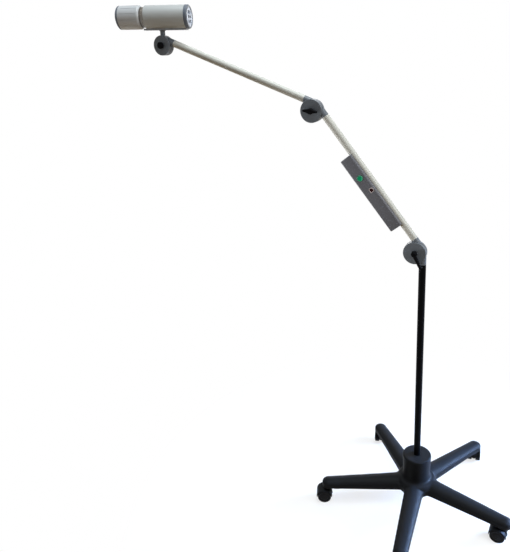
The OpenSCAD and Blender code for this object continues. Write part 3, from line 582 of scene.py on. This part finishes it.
# Each finish: its maker, its colour (a name is one of LampColours), then the rest of the maker's settings.
FINISHES = {
    "black_moulding": (moulded, "black_moulding", 0.46, 0.0007, 0.00006, 0.10, 0.04),
    "wheel_black": (moulded, "wheel_black", 0.48, 0.0012, 0.00010, 0.15, 0.08),
    "mast_black": (coated, "mast_black", 0.32, 0.0040, 0.00002, 0.0, 0.05, 0.03),
    "knob_black": (moulded, "knob_black", 0.40, 0.0006, 0.00006, 0.10, 0.03),
    "joint_grey": (coated, "joint_grey", 0.42, 0.0011, 0.00007, 0.0, 0.04, 0.45),
    "box_grey": (moulded, "box_grey", 0.42, 0.0009, 0.00010, 0.04, 0.45),
    "arm_ivory": (coated, "arm_ivory", 0.40, 0.0030, 0.00003, 0.0, 0.03, 0.4),
    "head_grey": (coated, "head_grey", 0.38, 0.0022, 0.00003, 0.0, 0.03, 0.5),
    "collar_grey": (moulded, "collar_grey", 0.40, 0.0008, 0.00005, 0.03, 0.6),
    "trim_grey": (moulded, "trim_grey", 0.42, 0.0008, 0.00005, 0.04, 0.3),
    "white_plastic": (moulded, "grille_pale", 0.38, 0.0008, 0.00004, 0.03, 0.4),
    "rail_grey": (coated, "rail_grey", 0.42, 0.0011, 0.00005, 0.0, 0.04, 0.4),
    # The neck's metal carries painted shade towards the collar.
    "neck_metal": (metal_with_painted_shade, "neck_metal", 0.22, 0.066, 0.059),
    "steel": (bare_metal, "steel", 0.28, (1.0, 1.0, 0.08)),
    "reflector": (bare_metal, srgb(206, 209, 214), 0.16, (1.0, 1.0, 1.0)),
    "dark_steel": (bare_metal, srgb(62, 66, 74), 0.34, (1.0, 1.0, 0.08)),
    # The heat sink's near-black finish is partly painted shade behind the grille.
    "sink_black": (moulded, "sink_black", 0.50, 0.0010, 0.00005, 0.10, 0.10),
    "iron": (moulded, srgb(70, 70, 72), 0.62, 0.0016, 0.0002, 0.12, 0.3),
    "bush_plastic": (moulded, srgb(190, 190, 186), 0.45, 0.0008, 0.00004, 0.03, 0.4),
    "board_green": (coated, srgb(24, 84, 46), 0.40, 0.0020, 0.00006, 0.2, 0.10),
    "lamp_yellow": (lit_plastic, srgb(240, 236, 214), 0.35, 0.30),
    "button_green": (lit_plastic, "button_green", 0.36, 0.05, 0.06),
    "button_rim": (lit_plastic, "button_rim", 0.36, 0.0, 0.15),
    "window_red": (moulded, "window_red", 0.30, 0.0010, 0.00003, 0.10, 0.08),
    "frame_pale": (moulded, "frame_pale", 0.36, 0.0007, 0.00004, 0.03, 0.4),
    "lens_glass": (clear_glass, (0.93, 0.97, 1.0), (0.80, 0.84, 0.88)),
}


def finish(name):
    """The named finish, made when it is first asked for."""
    made = bpy.data.materials.get(f"{name}_finish")
    if made:
        return made
    maker, rgb, *settings = FINISHES[name]
    if isinstance(rgb, str):
        rgb = getattr(bpy.context.scene.lamp_colours, rgb)
    return maker(name, rgb, *settings)


def cover(piece, name):
    """Gives a piece one finish all over."""
    piece.data.materials.clear()
    piece.data.materials.append(finish(name))


def hand_over(piece, body, slot, look, *nodes):
    """Finishes a piece and lets it ride on its body in place of CAD nodes."""
    if look:
        cover(piece, look)
    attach(piece, body)
    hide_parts(*nodes)


# CAD nodes that stay in view, by the finish they get.
CARRIED = {
    "black_moulding": ["hub_cover", "mains_inlet", "lower_arm_washers", "head_washer"],
    "reflector": ["lens_cell"],
    "steel": ["castor_stems", "pole_bolt", "pole_plug", "lower_arm_pivots", "head_pivot"],
    "wheel_black": [f"castor_axle_{i}" for i in CASTORS],
    "iron": ["ballast_weight"],
    "bush_plastic": ["pole_bush"],
    "mast_black": ["pole_tube"],
    "joint_grey": ["pole_head", "lower_arm_foot", "lower_arm_crown", "lower_arm_caps", "upper_arm_foot",
                   "upper_arm_crown", "head_joint_cap", "head_yoke"],
    "arm_ivory": ["lower_arm_tube", "upper_arm_tube"],
    "box_grey": ["driver_back_cover"],
    "board_green": ["driver_board"],
    "trim_grey": ["rear_ring"],
    "rail_grey": ["head_rail"],
    "white_plastic": ["rear_grille"],
    "neck_metal": ["focus_neck"],
    "sink_black": ["heat_sink"],
    "lamp_yellow": ["led_module"],
}


class LAMP_OT_carried(bpy.types.Operator):
    """Gives the carried-over solids their finishes"""

    bl_idname = "lamp.carried"
    bl_label = "Carried solids"

    def execute(self, context):
        for look, names in CARRIED.items():
            for name in names:
                cover(NODES[name], look)
        return {"FINISHED"}


class LAMP_OT_star(bpy.types.Operator):
    """Softens the star as a moulding with rounded edges, and fairs its hub into the legs"""

    bl_idname = "lamp.star"
    bl_label = "Star"

    def execute(self, context):
        sizes = context.scene.lamp_sizes
        star = twin(NODES["base_star"], "star_moulding")
        star.parent = None
        for key in list(star.keys()):
            del star[key]
        edit(star)
        select_all()
        bpy.ops.mesh.remove_doubles(threshold=1e-5)
        leave_edit()
        joined(star, turned("star_flare", FLARE, steps=120))
        modify(star, "REMESH", mode="VOXEL", voxel_size=sizes.star_voxel)
        modify(star, "SMOOTH", factor=0.5, iterations=4)
        smooth(star, 60)
        hand_over(star, "base", "black_moulding", "black_moulding", "base_star")
        return {"FINISHED"}


class LAMP_OT_castors(bpy.types.Operator):
    """Twin-wheel castors: hood with web and boss, and the two dished wheels"""

    bl_idname = "lamp.castors"
    bl_label = "Castors"

    def execute(self, context):
        sizes = context.scene.lamp_sizes
        hood = self.hood(sizes)
        wheels = self.wheels(sizes)
        for i in CASTORS:
            axle = place_of(f"wheel_roll_{i}")
            trail = axle - place_of(f"castor_swivel_{i}")
            trail.z = 0
            at = seat(axle, trail, Vector((0, 0, 1)))
            shell = put(twin(hood, f"castor_shell_{i}"), at)
            pair = put(twin(wheels, f"castor_tyres_{i}"), at)
            hand_over(shell, f"castor_{i}", "black_moulding", "black_moulding", f"castor_hood_{i}")
            hand_over(pair, f"wheels_{i}", "wheel_black", "wheel_black", f"castor_wheels_{i}")
        drop(hood, wheels)
        return {"FINISHED"}

    def hood(self, sizes):
        """Arched cover over both wheels, the web between them and the swivel boss."""
        r = sizes.hood_radius / MM
        wall = sizes.hood_wall / MM
        half = (sizes.wheel_inset + sizes.wheel_width) / MM
        # The arch ends a little above the axle.
        rise = 3
        lift = math.asin(rise / r)
        arch = turned("hood_arch", [(r - wall, -half, 0.8), (r - 0.8, -half, 0.8), (r, -half + 4, 3.4),
                                    (r, half - 4, 3.4), (r - 0.8, half, 0.8), (r - wall, half, 0.8)],
                      steps=48, angle=math.pi - 2 * lift)
        edit(arch)
        select_all()
        bpy.ops.mesh.fill_holes(sides=0)
        outward()
        put(arch, TIP_AHEAD @ Matrix.Rotation(-lift, 4, "Z"))
        web = turned("hood_web", [(0, -5), (21, -5, 1), (21, 5, 1), (0, 5)], closed=False, steps=64)
        put(web, TIP_BACK)
        crown = turned("hood_crown", [(0, -6), (r - 1, -6, 1), (r - 1, 6, 1), (0, 6)], closed=False, steps=64)
        put(crown, TIP_BACK)
        edit(crown)
        select_all()
        bpy.ops.mesh.bisect(plane_co=(0, 0, rise * MM), plane_no=(0, 0, 1), use_fill=True, clear_inner=True)
        outward()
        top = sizes.boss_height / MM
        boss = turned("hood_boss", [(0, 0), (14, 0, 2), (11, 18, 3), (11, top, 0.8), (5.2, top), (5.2, top - 4),
                                    (0, top - 4)], closed=False, steps=48)
        put(boss, Matrix.Translation((-sizes.castor_trail, 0, 0)))
        return smooth(joined(arch, web, crown, boss))

    def wheels(self, sizes):
        """Two tyres with rounded treads, dished faces and hub caps."""
        r = sizes.wheel_radius / MM
        w = sizes.wheel_width / MM
        eye = 3.1
        outline = [(eye, 0), (8, 0), (8, 1.5), (r - 5, 1.5), (r - 3.5, 0, 0.8), (r - 0.8, 0.6, 1.6), (r, 3.2, 1.5),
                   (r, w - 3.2, 1.5), (r - 0.8, w - 0.6, 1.6), (r - 4, w, 0.8), (r - 5, w - 1.8, 0.6),
                   (r - 11, w - 2.4, 1), (r - 12, w - 0.8, 0.6), (6, w, 1), (eye, w)]
        near = turned("tyre_near", outline, steps=72)
        put(near, TIP_BACK @ Matrix.Translation((0, 0, sizes.wheel_inset)))
        far = put(twin(near, "tyre_far"), Matrix.Rotation(math.pi, 4, "Z"))
        return smooth(joined(near, far))


class LAMP_OT_lever(bpy.types.Operator):
    """Clamp lever of the lower joint: stepped hub and a tapered handle"""

    bl_idname = "lamp.lever"
    bl_label = "Clamp lever"

    def execute(self, context):
        sizes = context.scene.lamp_sizes
        foot = sizes.knob_seat / MM
        reach = sizes.lever_reach / MM
        hub = turned("lever_hub", [(BORE, foot), (9, foot, 0.6), (9, foot + 5, 0.8), (8, foot + 5.6, 0.6),
                                   (8.4, foot + 12, 1), (7.4, foot + 15, 2.4), (0, foot + 15.6),
                                   (0, foot + BORE_DEPTH), (BORE, foot + BORE_DEPTH)], steps=64)
        handle = turned("lever_handle", [(0, -4), (5.2, -4, 2), (6.6, 4, 4), (6.2, 16, 8), (5.6, 28, 8),
                                         (5.6, reach - 9, 6), (4.6, reach, 3.4), (0, reach)], closed=False, steps=48)
        turn, tilt = math.radians(28), math.radians(-86)
        put(handle, Matrix.Translation((0, 0, (foot + 9) * MM)) @ Matrix.Rotation(turn, 4, "Z")
            @ Matrix.Rotation(tilt, 4, "X"))
        lever = joined(hub, handle)
        put(lever, seat(LOWER, Vector((-1, 0, 0)), NEAR))
        hand_over(smooth(lever), "lever", "black_moulding", "knob_black", "clamp_lever")
        return {"FINISHED"}


class LAMP_OT_wing_knob(bpy.types.Operator):
    """Wing knob of the middle joint"""

    bl_idname = "lamp.wing_knob"
    bl_label = "Wing knob"

    def execute(self, context):
        sizes = context.scene.lamp_sizes
        foot = sizes.knob_seat / MM
        half = sizes.wing_span / 2 / MM
        hub = turned("wing_hub", [(BORE, foot), (10, foot, 0.6), (10, foot + 4, 1), (8.6, foot + 6, 1),
                                  (8.6, foot + 12, 2), (0, foot + 13), (0, foot + BORE_DEPTH),
                                  (BORE, foot + BORE_DEPTH)], steps=64)
        wings = prism("wing_blades", [(-half, -3.0, 2.4), (-half, 3.0, 2.4), (-11, 5.0, 6), (-4, 8.4, 4), (4, 8.4, 4),
                                      (11, 5.0, 6), (half, 3.0, 2.4), (half, -3.0, 2.4), (11, -5.0, 6), (4, -8.4, 4),
                                      (-4, -8.4, 4), (-11, -5.0, 6)], 10)
        modify(wings, "BEVEL", width=0.0016, segments=3, limit_method="ANGLE", angle_limit=math.radians(30))
        put(wings, Matrix.Translation((0, 0, (foot + 4) * MM)))
        knob = joined(hub, wings)
        turn = math.radians(-7)
        put(knob, seat(MIDDLE, Vector((1, 0, 0)), NEAR) @ Matrix.Rotation(turn, 4, "Z"))
        hand_over(smooth(knob), "elbow_knob", "black_moulding", "knob_black", "wing_knob")
        return {"FINISHED"}


class LAMP_OT_round_knob(bpy.types.Operator):
    """Round knob of the head joint, with grip flutes"""

    bl_idname = "lamp.round_knob"
    bl_label = "Round knob"

    def execute(self, context):
        sizes = context.scene.lamp_sizes
        foot = sizes.knob_seat / MM
        r = sizes.round_knob / 2 / MM
        knob = turned("round_grip", [(BORE, foot), (r - 1.4, foot, 0.6), (r - 1.4, foot + 2.4), (r, foot + 3, 0.6),
                                     (r, foot + 9, 1.6), (r - 2, foot + 11, 1.4), (0, foot + 11.4),
                                     (0, foot + BORE_DEPTH), (BORE, foot + BORE_DEPTH)], steps=72)
        flutes, pinch = 12, 0.93
        step = math.tau / flutes

        def flute(place, normal):
            turn = math.atan2(place.y, place.x) % step
            return Vector((place.x, place.y)).length > (r - 0.6) * MM and step * 0.3 < turn < step * 0.7
        pick(knob, "VERT", flute)
        bpy.ops.transform.resize(value=(pinch, pinch, 1), center_override=(0, 0, 0))
        leave_edit()
        put(knob, seat(UPPER, Vector((1, 0, 0)), NEAR))
        hand_over(smooth(knob), "head_knob", "black_moulding", "knob_black", "round_knob")
        return {"FINISHED"}


class LAMP_OT_driver_box(bpy.types.Operator):
    """Housing of the driver, saddled on the lower arm"""

    bl_idname = "lamp.driver_box"
    bl_label = "Driver box"

    def execute(self, context):
        sizes = context.scene.lamp_sizes
        half = sizes.box_width / 2 / MM
        top = sizes.arm_offset / MM
        low = top - sizes.box_drop / MM
        tube = sizes.arm_radius / MM + SEAT_GAP
        run = sizes.box_length / MM
        edge = 5
        saddle = [(top + tube * math.cos(a), tube * math.sin(a))
                  for a in (math.radians(90 + 180 * k / 24) for k in range(25))]
        outline = [(low, half, 4), (top - edge, half, 2), (top, half - edge, 2), *saddle,
                   (top, -half + edge, 2), (top - edge, -half, 2), (low, -half, 4)]
        box = prism("driver_case", outline, run)
        ends = (0.0, run * MM)
        pick(box, "EDGE", lambda place, way: min(abs(place.z - e) for e in ends) < 1e-6)
        bpy.ops.mesh.bevel(offset=0.003, segments=5, affect="EDGES")
        leave_edit()
        # The outline lies in X and Y and runs along Z: turned so that it runs along the arm.
        put(box, Matrix(((0, 0, 1, sizes.box_start), (0, 1, 0, 0), (1, 0, 0, 0), (0, 0, 0, 1))))
        edit(box)
        outward()
        for cutter in self.cutters(sizes, half, low, run):
            cut(box, cutter)
        put(box, ARM_FRAME)
        hand_over(smooth(box, 30), "lower_arm", "box_grey", "box_grey", "driver_housing")
        return {"FINISHED"}

    def cutters(self, sizes, half, low, run):
        """Forms of the button's hole, the indicator's seat, the inlet's opening and the cover's seat."""
        # Depths of the four below the faces of the box.
        hole_deep, pane_deep, inlet_deep, lid_deep = 12, 1.5, 18.2, 2.8
        wide = sizes.button_radius / MM + 0.4
        hole = turned("hole", [(0, 0), (wide, 0), (wide, 16), (0, 16)], closed=False, steps=64)
        put(hole, Matrix.Translation((sizes.button_at, (half - hole_deep) * MM, BUTTON_LIFT)) @ TIP_AHEAD)
        side = sizes.window_width / 2 / MM + SEAT_GAP
        pane = prism("pane_seat", oblong(side, side), 9)
        height = sizes.arm_offset - WINDOW_DROP
        put(pane, Matrix.Translation((sizes.window_at, (half - pane_deep) * MM, height)) @ TIP_AHEAD)
        start = sizes.box_start / MM
        high = (sizes.arm_offset - sizes.arm_radius) / MM - SEAT_GAP
        long = 30
        inlet = prism("inlet_mouth", oblong(12.1, 7.1), long)
        put(inlet, Matrix(((0, 0, 1, (start + inlet_deep - long) * MM), (1, 0, 0, 0),
                           (0, 1, 0, (high + low) / 2 * MM), (0, 0, 0, 1))))
        rim = 1.3
        near, far = start + rim, start + run - rim
        lid = prism("lid_seat", [(near, low + rim, 4), (far, low + rim, 4), (far, high - rim, 4),
                                 (near, high - rim, 4)], 4)
        put(lid, Matrix.Translation((0, (lid_deep - half) * MM, 0)) @ TIP_BACK)
        return [hole, pane, inlet, lid]


class LAMP_OT_controls(bpy.types.Operator):
    """Push button and framed indicator of the driver box"""

    bl_idname = "lamp.controls"
    bl_label = "Controls"

    def execute(self, context):
        sizes = context.scene.lamp_sizes
        face = sizes.box_width / 2 / MM
        self.push_button(sizes, face)
        self.indicator(sizes, face)
        return {"FINISHED"}

    def push_button(self, sizes, face):
        """Round button with a raised rim and a dished face of another tone."""
        r = sizes.button_radius / MM
        rim = 0.0024
        button = turned("push_button", [(0, face - 8), (r + 0.2, face - 8), (r + 0.2, face - 4), (r, face - 3.5),
                                        (r, face + 1.5, 0.9), (r - 2, face + 1.6, 0.6), (r - 3, face + 0.9, 0.6),
                                        (0, face + 1.2)], closed=False, steps=64)
        put(button, Matrix.Translation((sizes.button_at, 0, BUTTON_LIFT)) @ TIP_AHEAD)
        cover(button, "button_rim")
        button.data.materials.append(finish("button_green"))
        for polygon in button.data.polygons:
            across = math.hypot(polygon.center.x - sizes.button_at, polygon.center.z - BUTTON_LIFT)
            polygon.material_index = int(across < sizes.button_radius - rim)
        put(button, ARM_FRAME)
        hand_over(button, "button", "button_green", None, "power_button")

    def indicator(self, sizes, face):
        """Square window sunk in a pale frame; the frame's pale colour is partly a painted highlight on its rim."""
        side = sizes.window_width
        rim = 0.0012
        clear()
        bpy.ops.mesh.primitive_cube_add(size=1, scale=(side, 0.0022, side),
                                        location=(sizes.window_at, (face - 0.4) * MM, sizes.arm_offset - WINDOW_DROP))
        window = named("indicator")
        settle()
        pick(window, "FACE", lambda place, normal: normal.y > 0.9)
        bpy.ops.mesh.inset(thickness=rim, depth=0)
        bpy.ops.mesh.inset(thickness=0.0003, depth=-0.0008)
        leave_edit()
        # The frame's pale finish is partly a painted highlight.
        cover(window, "frame_pale")
        window.data.materials.append(finish("window_red"))
        for polygon in window.data.polygons:
            within = abs(polygon.center.x - sizes.window_at) < side / 2 - rim + 1e-5
            sunk = abs(polygon.center.y / MM - face) < 0.6
            polygon.material_index = int(within and sunk)
        put(window, ARM_FRAME)
        hand_over(window, "lower_arm", "window_red", None, "indicator_window")


class LAMP_OT_screws(bpy.types.Operator):
    """Cross-recessed screws of the driver box and the mast"""

    bl_idname = "lamp.screws"
    bl_label = "Screws"

    def execute(self, context):
        sizes = context.scene.lamp_sizes
        tall = 1.6
        head = turned("screw", [(0, -10), (1.4, -10, 0.3), (1.4, 0), (2.75, 0, 0.2), (2.6, 1.2, 0.6), (0, tall)],
                      closed=False, steps=36)
        arm, half = 1.6, 0.35
        cross = prism("recess", [(-arm, -half), (-half, -half), (-half, -arm), (half, -arm), (half, -half),
                                 (arm, -half), (arm, half), (half, half), (half, arm), (-half, arm), (-half, half),
                                 (-arm, half)], 3)
        cut(head, put(cross, Matrix.Translation((0, 0, 0.0007))))
        smooth(head)
        # The box's screws stand at the same distance from the edges of its back.
        margin = 5
        start, run = sizes.box_start / MM, sizes.box_length / MM
        low = (sizes.arm_offset - sizes.box_drop) / MM
        high = (sizes.arm_offset - sizes.arm_radius) / MM - SEAT_GAP
        back = tall - sizes.box_width / 2 / MM
        heads = []
        for x in (start + margin, start + run - margin):
            for z in (low + margin, high - margin):
                at = Matrix.Translation((x * MM, back * MM, z * MM)) @ TIP_BACK
                heads.append(put(twin(head, "box_screws"), ARM_FRAME @ at))
        hand_over(joined(*heads), "lower_arm", "steel", "steel", "driver_screws")
        low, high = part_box("pole_screw")
        middle = (low + high) / 2
        at = seat(Vector((middle.x, low.y + tall * MM, middle.z)), Vector((1, 0, 0)), NEAR)
        mast = put(twin(head, "mast_screw"), at @ Matrix.Diagonal((1, 1, 0.9, 1)))
        hand_over(mast, "mast", "steel", "dark_steel", "pole_screw")
        drop(head)
        return {"FINISHED"}


class LAMP_OT_shell(bpy.types.Operator):
    """Lamp body with rounded edges and its front bezel"""

    bl_idname = "lamp.shell"
    bl_label = "Lamp body and bezel"

    def execute(self, context):
        sizes = context.scene.lamp_sizes
        r = sizes.body_radius / MM
        front, rear = -sizes.body_front / MM, sizes.body_rear / MM
        shell = turned("lamp_shell", [(r - 2.5, front + 0.6, 0.6), (r - 1.2, front, 0.8), (r, front + 1.6, 1.4),
                                      (r, rear - 0.3, 0.3), (r - 2.5, rear - 0.3)], steps=128)
        put(shell, HEAD_FRAME)
        hand_over(shell, "head", "head_grey", "head_grey", "lamp_body")
        start = -(sizes.collar_rear + sizes.collar_length) / MM
        tip = start - sizes.bezel_length / MM
        bezel = turned("lamp_bezel", [(25, start + 8.7), (25, start, 1), (28, tip + 0.6, 0.6), (29.4, tip, 0.8),
                                      (r - 6, tip + 0.8), (r - 0.2, tip + 5, 1.6), (r, start - 0.4, 0.4), (34.9, start),
                                      (34.9, start + 8.7)], steps=128)
        put(bezel, HEAD_FRAME)
        hand_over(bezel, "collar", "trim_grey", "trim_grey", "front_bezel")
        return {"FINISHED"}


class LAMP_OT_collar(bpy.types.Operator):
    """Focus collar with long grip grooves"""

    bl_idname = "lamp.collar"
    bl_label = "Focus collar"

    def execute(self, context):
        sizes = context.scene.lamp_sizes
        r = sizes.body_radius / MM
        rear = -sizes.collar_rear / MM
        front = rear - sizes.collar_length / MM
        collar = turned("grip_collar", [(35, front, 0.3), (r - 0.8, front, 0.5), (r, front + 1, 0.6), (r, front + 9),
                                        (r, rear - 8), (r, rear - 5, 4), (r - 4.5, rear, 2.4), (33.5, rear, 0.4),
                                        (33.5, rear - 58), (35, rear - 58)], steps=144)
        cut(collar, self.slots(r, (front + rear) / 2, sizes.collar_length / MM - 17, sizes.collar_grooves))
        put(smooth(collar, 40), HEAD_FRAME)
        hand_over(collar, "collar", "collar_grey", "collar_grey", "focus_collar")
        return {"FINISHED"}

    def slots(self, r, middle, run, count):
        """Forms of the grip grooves: shallow slots with round ends, side by side round the collar."""
        wide, depth = 1.3, 0.8
        slot = prism("slot", oblong(run / 2, wide, wide), 3)
        lying = Matrix.Translation(((r - depth) * MM, 0, middle * MM)) @ Matrix.Rotation(math.pi / 2, 4, "Y")
        forms = []
        for k in range(count):
            turn = math.tau * (k + 0.5) / count
            forms.append(put(twin(slot, "slot_copy"), Matrix.Rotation(turn, 4, "Z") @ lying))
        drop(slot)
        return joined(*forms)


class LAMP_OT_lens(bpy.types.Operator):
    """Pressed lens with rings of six-sided facets"""

    bl_idname = "lamp.lens"
    bl_label = "Lens"

    def execute(self, context):
        sizes = context.scene.lamp_sizes
        front, rear = -129, -124
        plate = turned("facet_lens", [(0, front), (25.5, front, 0.6), (27, front + 1.2, 0.4), (27, rear - 0.2, 0.4),
                                      (0, rear)], closed=False)
        clear()
        bpy.ops.mesh.primitive_cylinder_add(vertices=6, radius=0.0031, depth=0.001, location=(0, 0, (front - 0.2) * MM))
        facet = named("facet")
        settle()
        pick(facet, "FACE", lambda place, normal: normal.z < -0.9)
        for inward, out in ((0.0006, 0.0005), (0.0008, 0.0004), (0.0007, 0.00015)):
            bpy.ops.mesh.inset(thickness=inward, depth=out)
        leave_edit()
        pitch = 0.0054
        rings = sizes.lens_facets
        facets = []
        for q in range(-rings, rings + 1):
            for s in range(-rings, rings + 1):
                if abs(q + s) <= rings:
                    at = ((q + s / 2) * pitch, s * pitch * math.sqrt(0.75), 0)
                    facets.append(put(twin(facet, "facet_copy"), Matrix.Translation(at)))
        drop(facet)
        lens = put(joined(plate, *facets), HEAD_FRAME)
        hand_over(lens, "focus_slide", "lens_glass", "lens_glass", "lens")
        return {"FINISHED"}


class LAMP_OT_stage(bpy.types.Operator):
    """Pale floor, soft studio light and the camera"""

    bl_idname = "lamp.stage"
    bl_label = "Stage"

    def execute(self, context):
        self.floor()
        self.surroundings(context.scene)
        self.lamps()
        self.camera(context.scene)
        context.scene.view_settings.view_transform = "Standard"
        return {"FINISHED"}

    def seen(self, tree):
        """1 for rays that show the surroundings: from the camera, in metal and through glass."""
        path = tree.nodes.new("ShaderNodeLightPath")
        camera, glossy, through = (Wire(tree, path.outputs[name]) for name in
                                   ("Is Camera Ray", "Is Glossy Ray", "Is Transmission Ray"))
        return camera.math("MAXIMUM", camera.math("MAXIMUM", camera, glossy), through)

    def floor(self):
        """Floor that is white where it is seen and keeps the shadow near the base."""
        clear()
        bpy.ops.mesh.primitive_grid_add(x_subdivisions=8, y_subdivisions=8, size=16)
        floor = named("studio_floor")
        material = bpy.data.materials.new("studio_floor")
        material.use_nodes = True
        tree = material.node_tree
        tree.nodes.remove(tree.nodes["Principled BSDF"])
        coords = Wire(tree, tree.nodes.new("ShaderNodeTexCoord").outputs["Object"])
        distance = coords.node("ShaderNodeVectorMath", {"operation": "LENGTH"}, {0: coords}, 1)
        fade = distance.between(0.35, 1.1)
        seen = self.seen(tree)
        lit = coords.node("ShaderNodeBsdfDiffuse", {}, {"Color": seen.blend(FLOOR_BOUNCE, FLOOR_SEEN)})
        white = coords.node("ShaderNodeEmission", {}, {"Color": WHITE, "Strength": 1.0})
        veil = 0.72
        share = seen * (veil + fade * (1 - veil))
        mixed = coords.node("ShaderNodeMixShader", {}, {0: share, 1: lit, 2: white})
        tree.links.new(mixed.socket, tree.nodes["Material Output"].inputs["Surface"])
        floor.data.materials.append(material)

    def surroundings(self, scene):
        """White where it is seen, and a weak light all round."""
        world = bpy.data.worlds.new("studio")
        scene.world = world
        world.use_nodes = True
        tree = world.node_tree
        seen = self.seen(tree)
        light = tree.nodes["Background"]
        light.inputs["Color"].default_value = (0.96, 0.98, 1.0, 1)
        light.inputs["Strength"].default_value = AMBIENT
        white = seen.node("ShaderNodeBackground", {}, {"Color": WHITE, "Strength": 1.0})
        mixed = seen.node("ShaderNodeMixShader", {}, {0: seen, 1: Wire(tree, light.outputs[0]), 2: white})
        tree.links.new(mixed.socket, tree.nodes["World Output"].inputs["Surface"])

    def lamps(self):
        """Softboxes above and beside the lamp, and weak fills."""
        for name, place, aim, size, power, tint, opening in LAMPS:
            clear()
            bpy.ops.object.light_add(type="AREA", location=place)
            lamp = named(name)
            lamp.data.size = size
            lamp.data.energy = power
            lamp.data.color = tint
            lamp.data.spread = math.radians(opening)
            lamp.rotation_euler = (Vector(aim) - Vector(place)).to_track_quat("-Z", "Y").to_euler()

    def camera(self, scene):
        """Camera at the photograph's place and angle."""
        yaw, pitch, roll = (math.radians(angle) for angle in VIEW_TURN)
        ahead = Vector((-math.sin(yaw) * math.cos(pitch), math.cos(yaw) * math.cos(pitch), math.sin(pitch)))
        level = Vector((math.cos(yaw), math.sin(yaw), 0))
        above = level.cross(ahead)
        right = level * math.cos(roll) + above * math.sin(roll)
        up = above * math.cos(roll) - level * math.sin(roll)
        clear()
        bpy.ops.object.camera_add()
        camera = named("photo_view")
        matrix = Matrix((right, up, -ahead)).transposed().to_4x4()
        matrix.translation = VIEW_PLACE
        camera.matrix_world = matrix
        camera.data.sensor_width = SENSOR_WIDTH
        camera.data.lens = FOCAL_PIXELS * SENSOR_WIDTH / PHOTO_HEIGHT
        camera.data.shift_x, camera.data.shift_y = (shift / PHOTO_HEIGHT for shift in SHIFT_PIXELS)
        scene.camera = camera


PIECES = (LAMP_OT_carried, LAMP_OT_star, LAMP_OT_castors, LAMP_OT_lever, LAMP_OT_wing_knob, LAMP_OT_round_knob,
          LAMP_OT_driver_box, LAMP_OT_controls, LAMP_OT_screws, LAMP_OT_shell, LAMP_OT_collar, LAMP_OT_lens,
          LAMP_OT_stage)


class LAMP_PT_pieces(bpy.types.Panel):
    """Lists the lamp's pieces, sizes and colours"""

    bl_idname = "LAMP_PT_pieces"
    bl_label = "Examination lamp"
    bl_space_type = "VIEW_3D"
    bl_region_type = "UI"
    bl_category = "Lamp"

    def draw(self, context):
        for piece in PIECES:
            self.layout.operator(piece.bl_idname)
        for group in (context.scene.lamp_sizes, context.scene.lamp_colours):
            for name in group.bl_rna.properties.keys():
                if name not in ("rna_type", "name"):
                    self.layout.prop(group, name)


CLASSES = (LampSizes, LampColours) + PIECES + (LAMP_PT_pieces,)


def register():
    """Makes the classes known to Blender and hangs the sizes and colours on the scene."""
    for made in CLASSES:
        bpy.utils.register_class(made)
    bpy.types.Scene.lamp_sizes = PointerProperty(type=LampSizes)
    bpy.types.Scene.lamp_colours = PointerProperty(type=LampColours)


def unregister():
    """Takes back what register did."""
    del bpy.types.Scene.lamp_colours
    del bpy.types.Scene.lamp_sizes
    for made in reversed(CLASSES):
        bpy.utils.unregister_class(made)


def main():
    """Makes every piece in order."""
    register()
    for piece in PIECES:
        group, name = piece.bl_idname.split(".")
        getattr(getattr(bpy.ops, group), name)()
    clear()


if __name__ == "__main__":
    main()
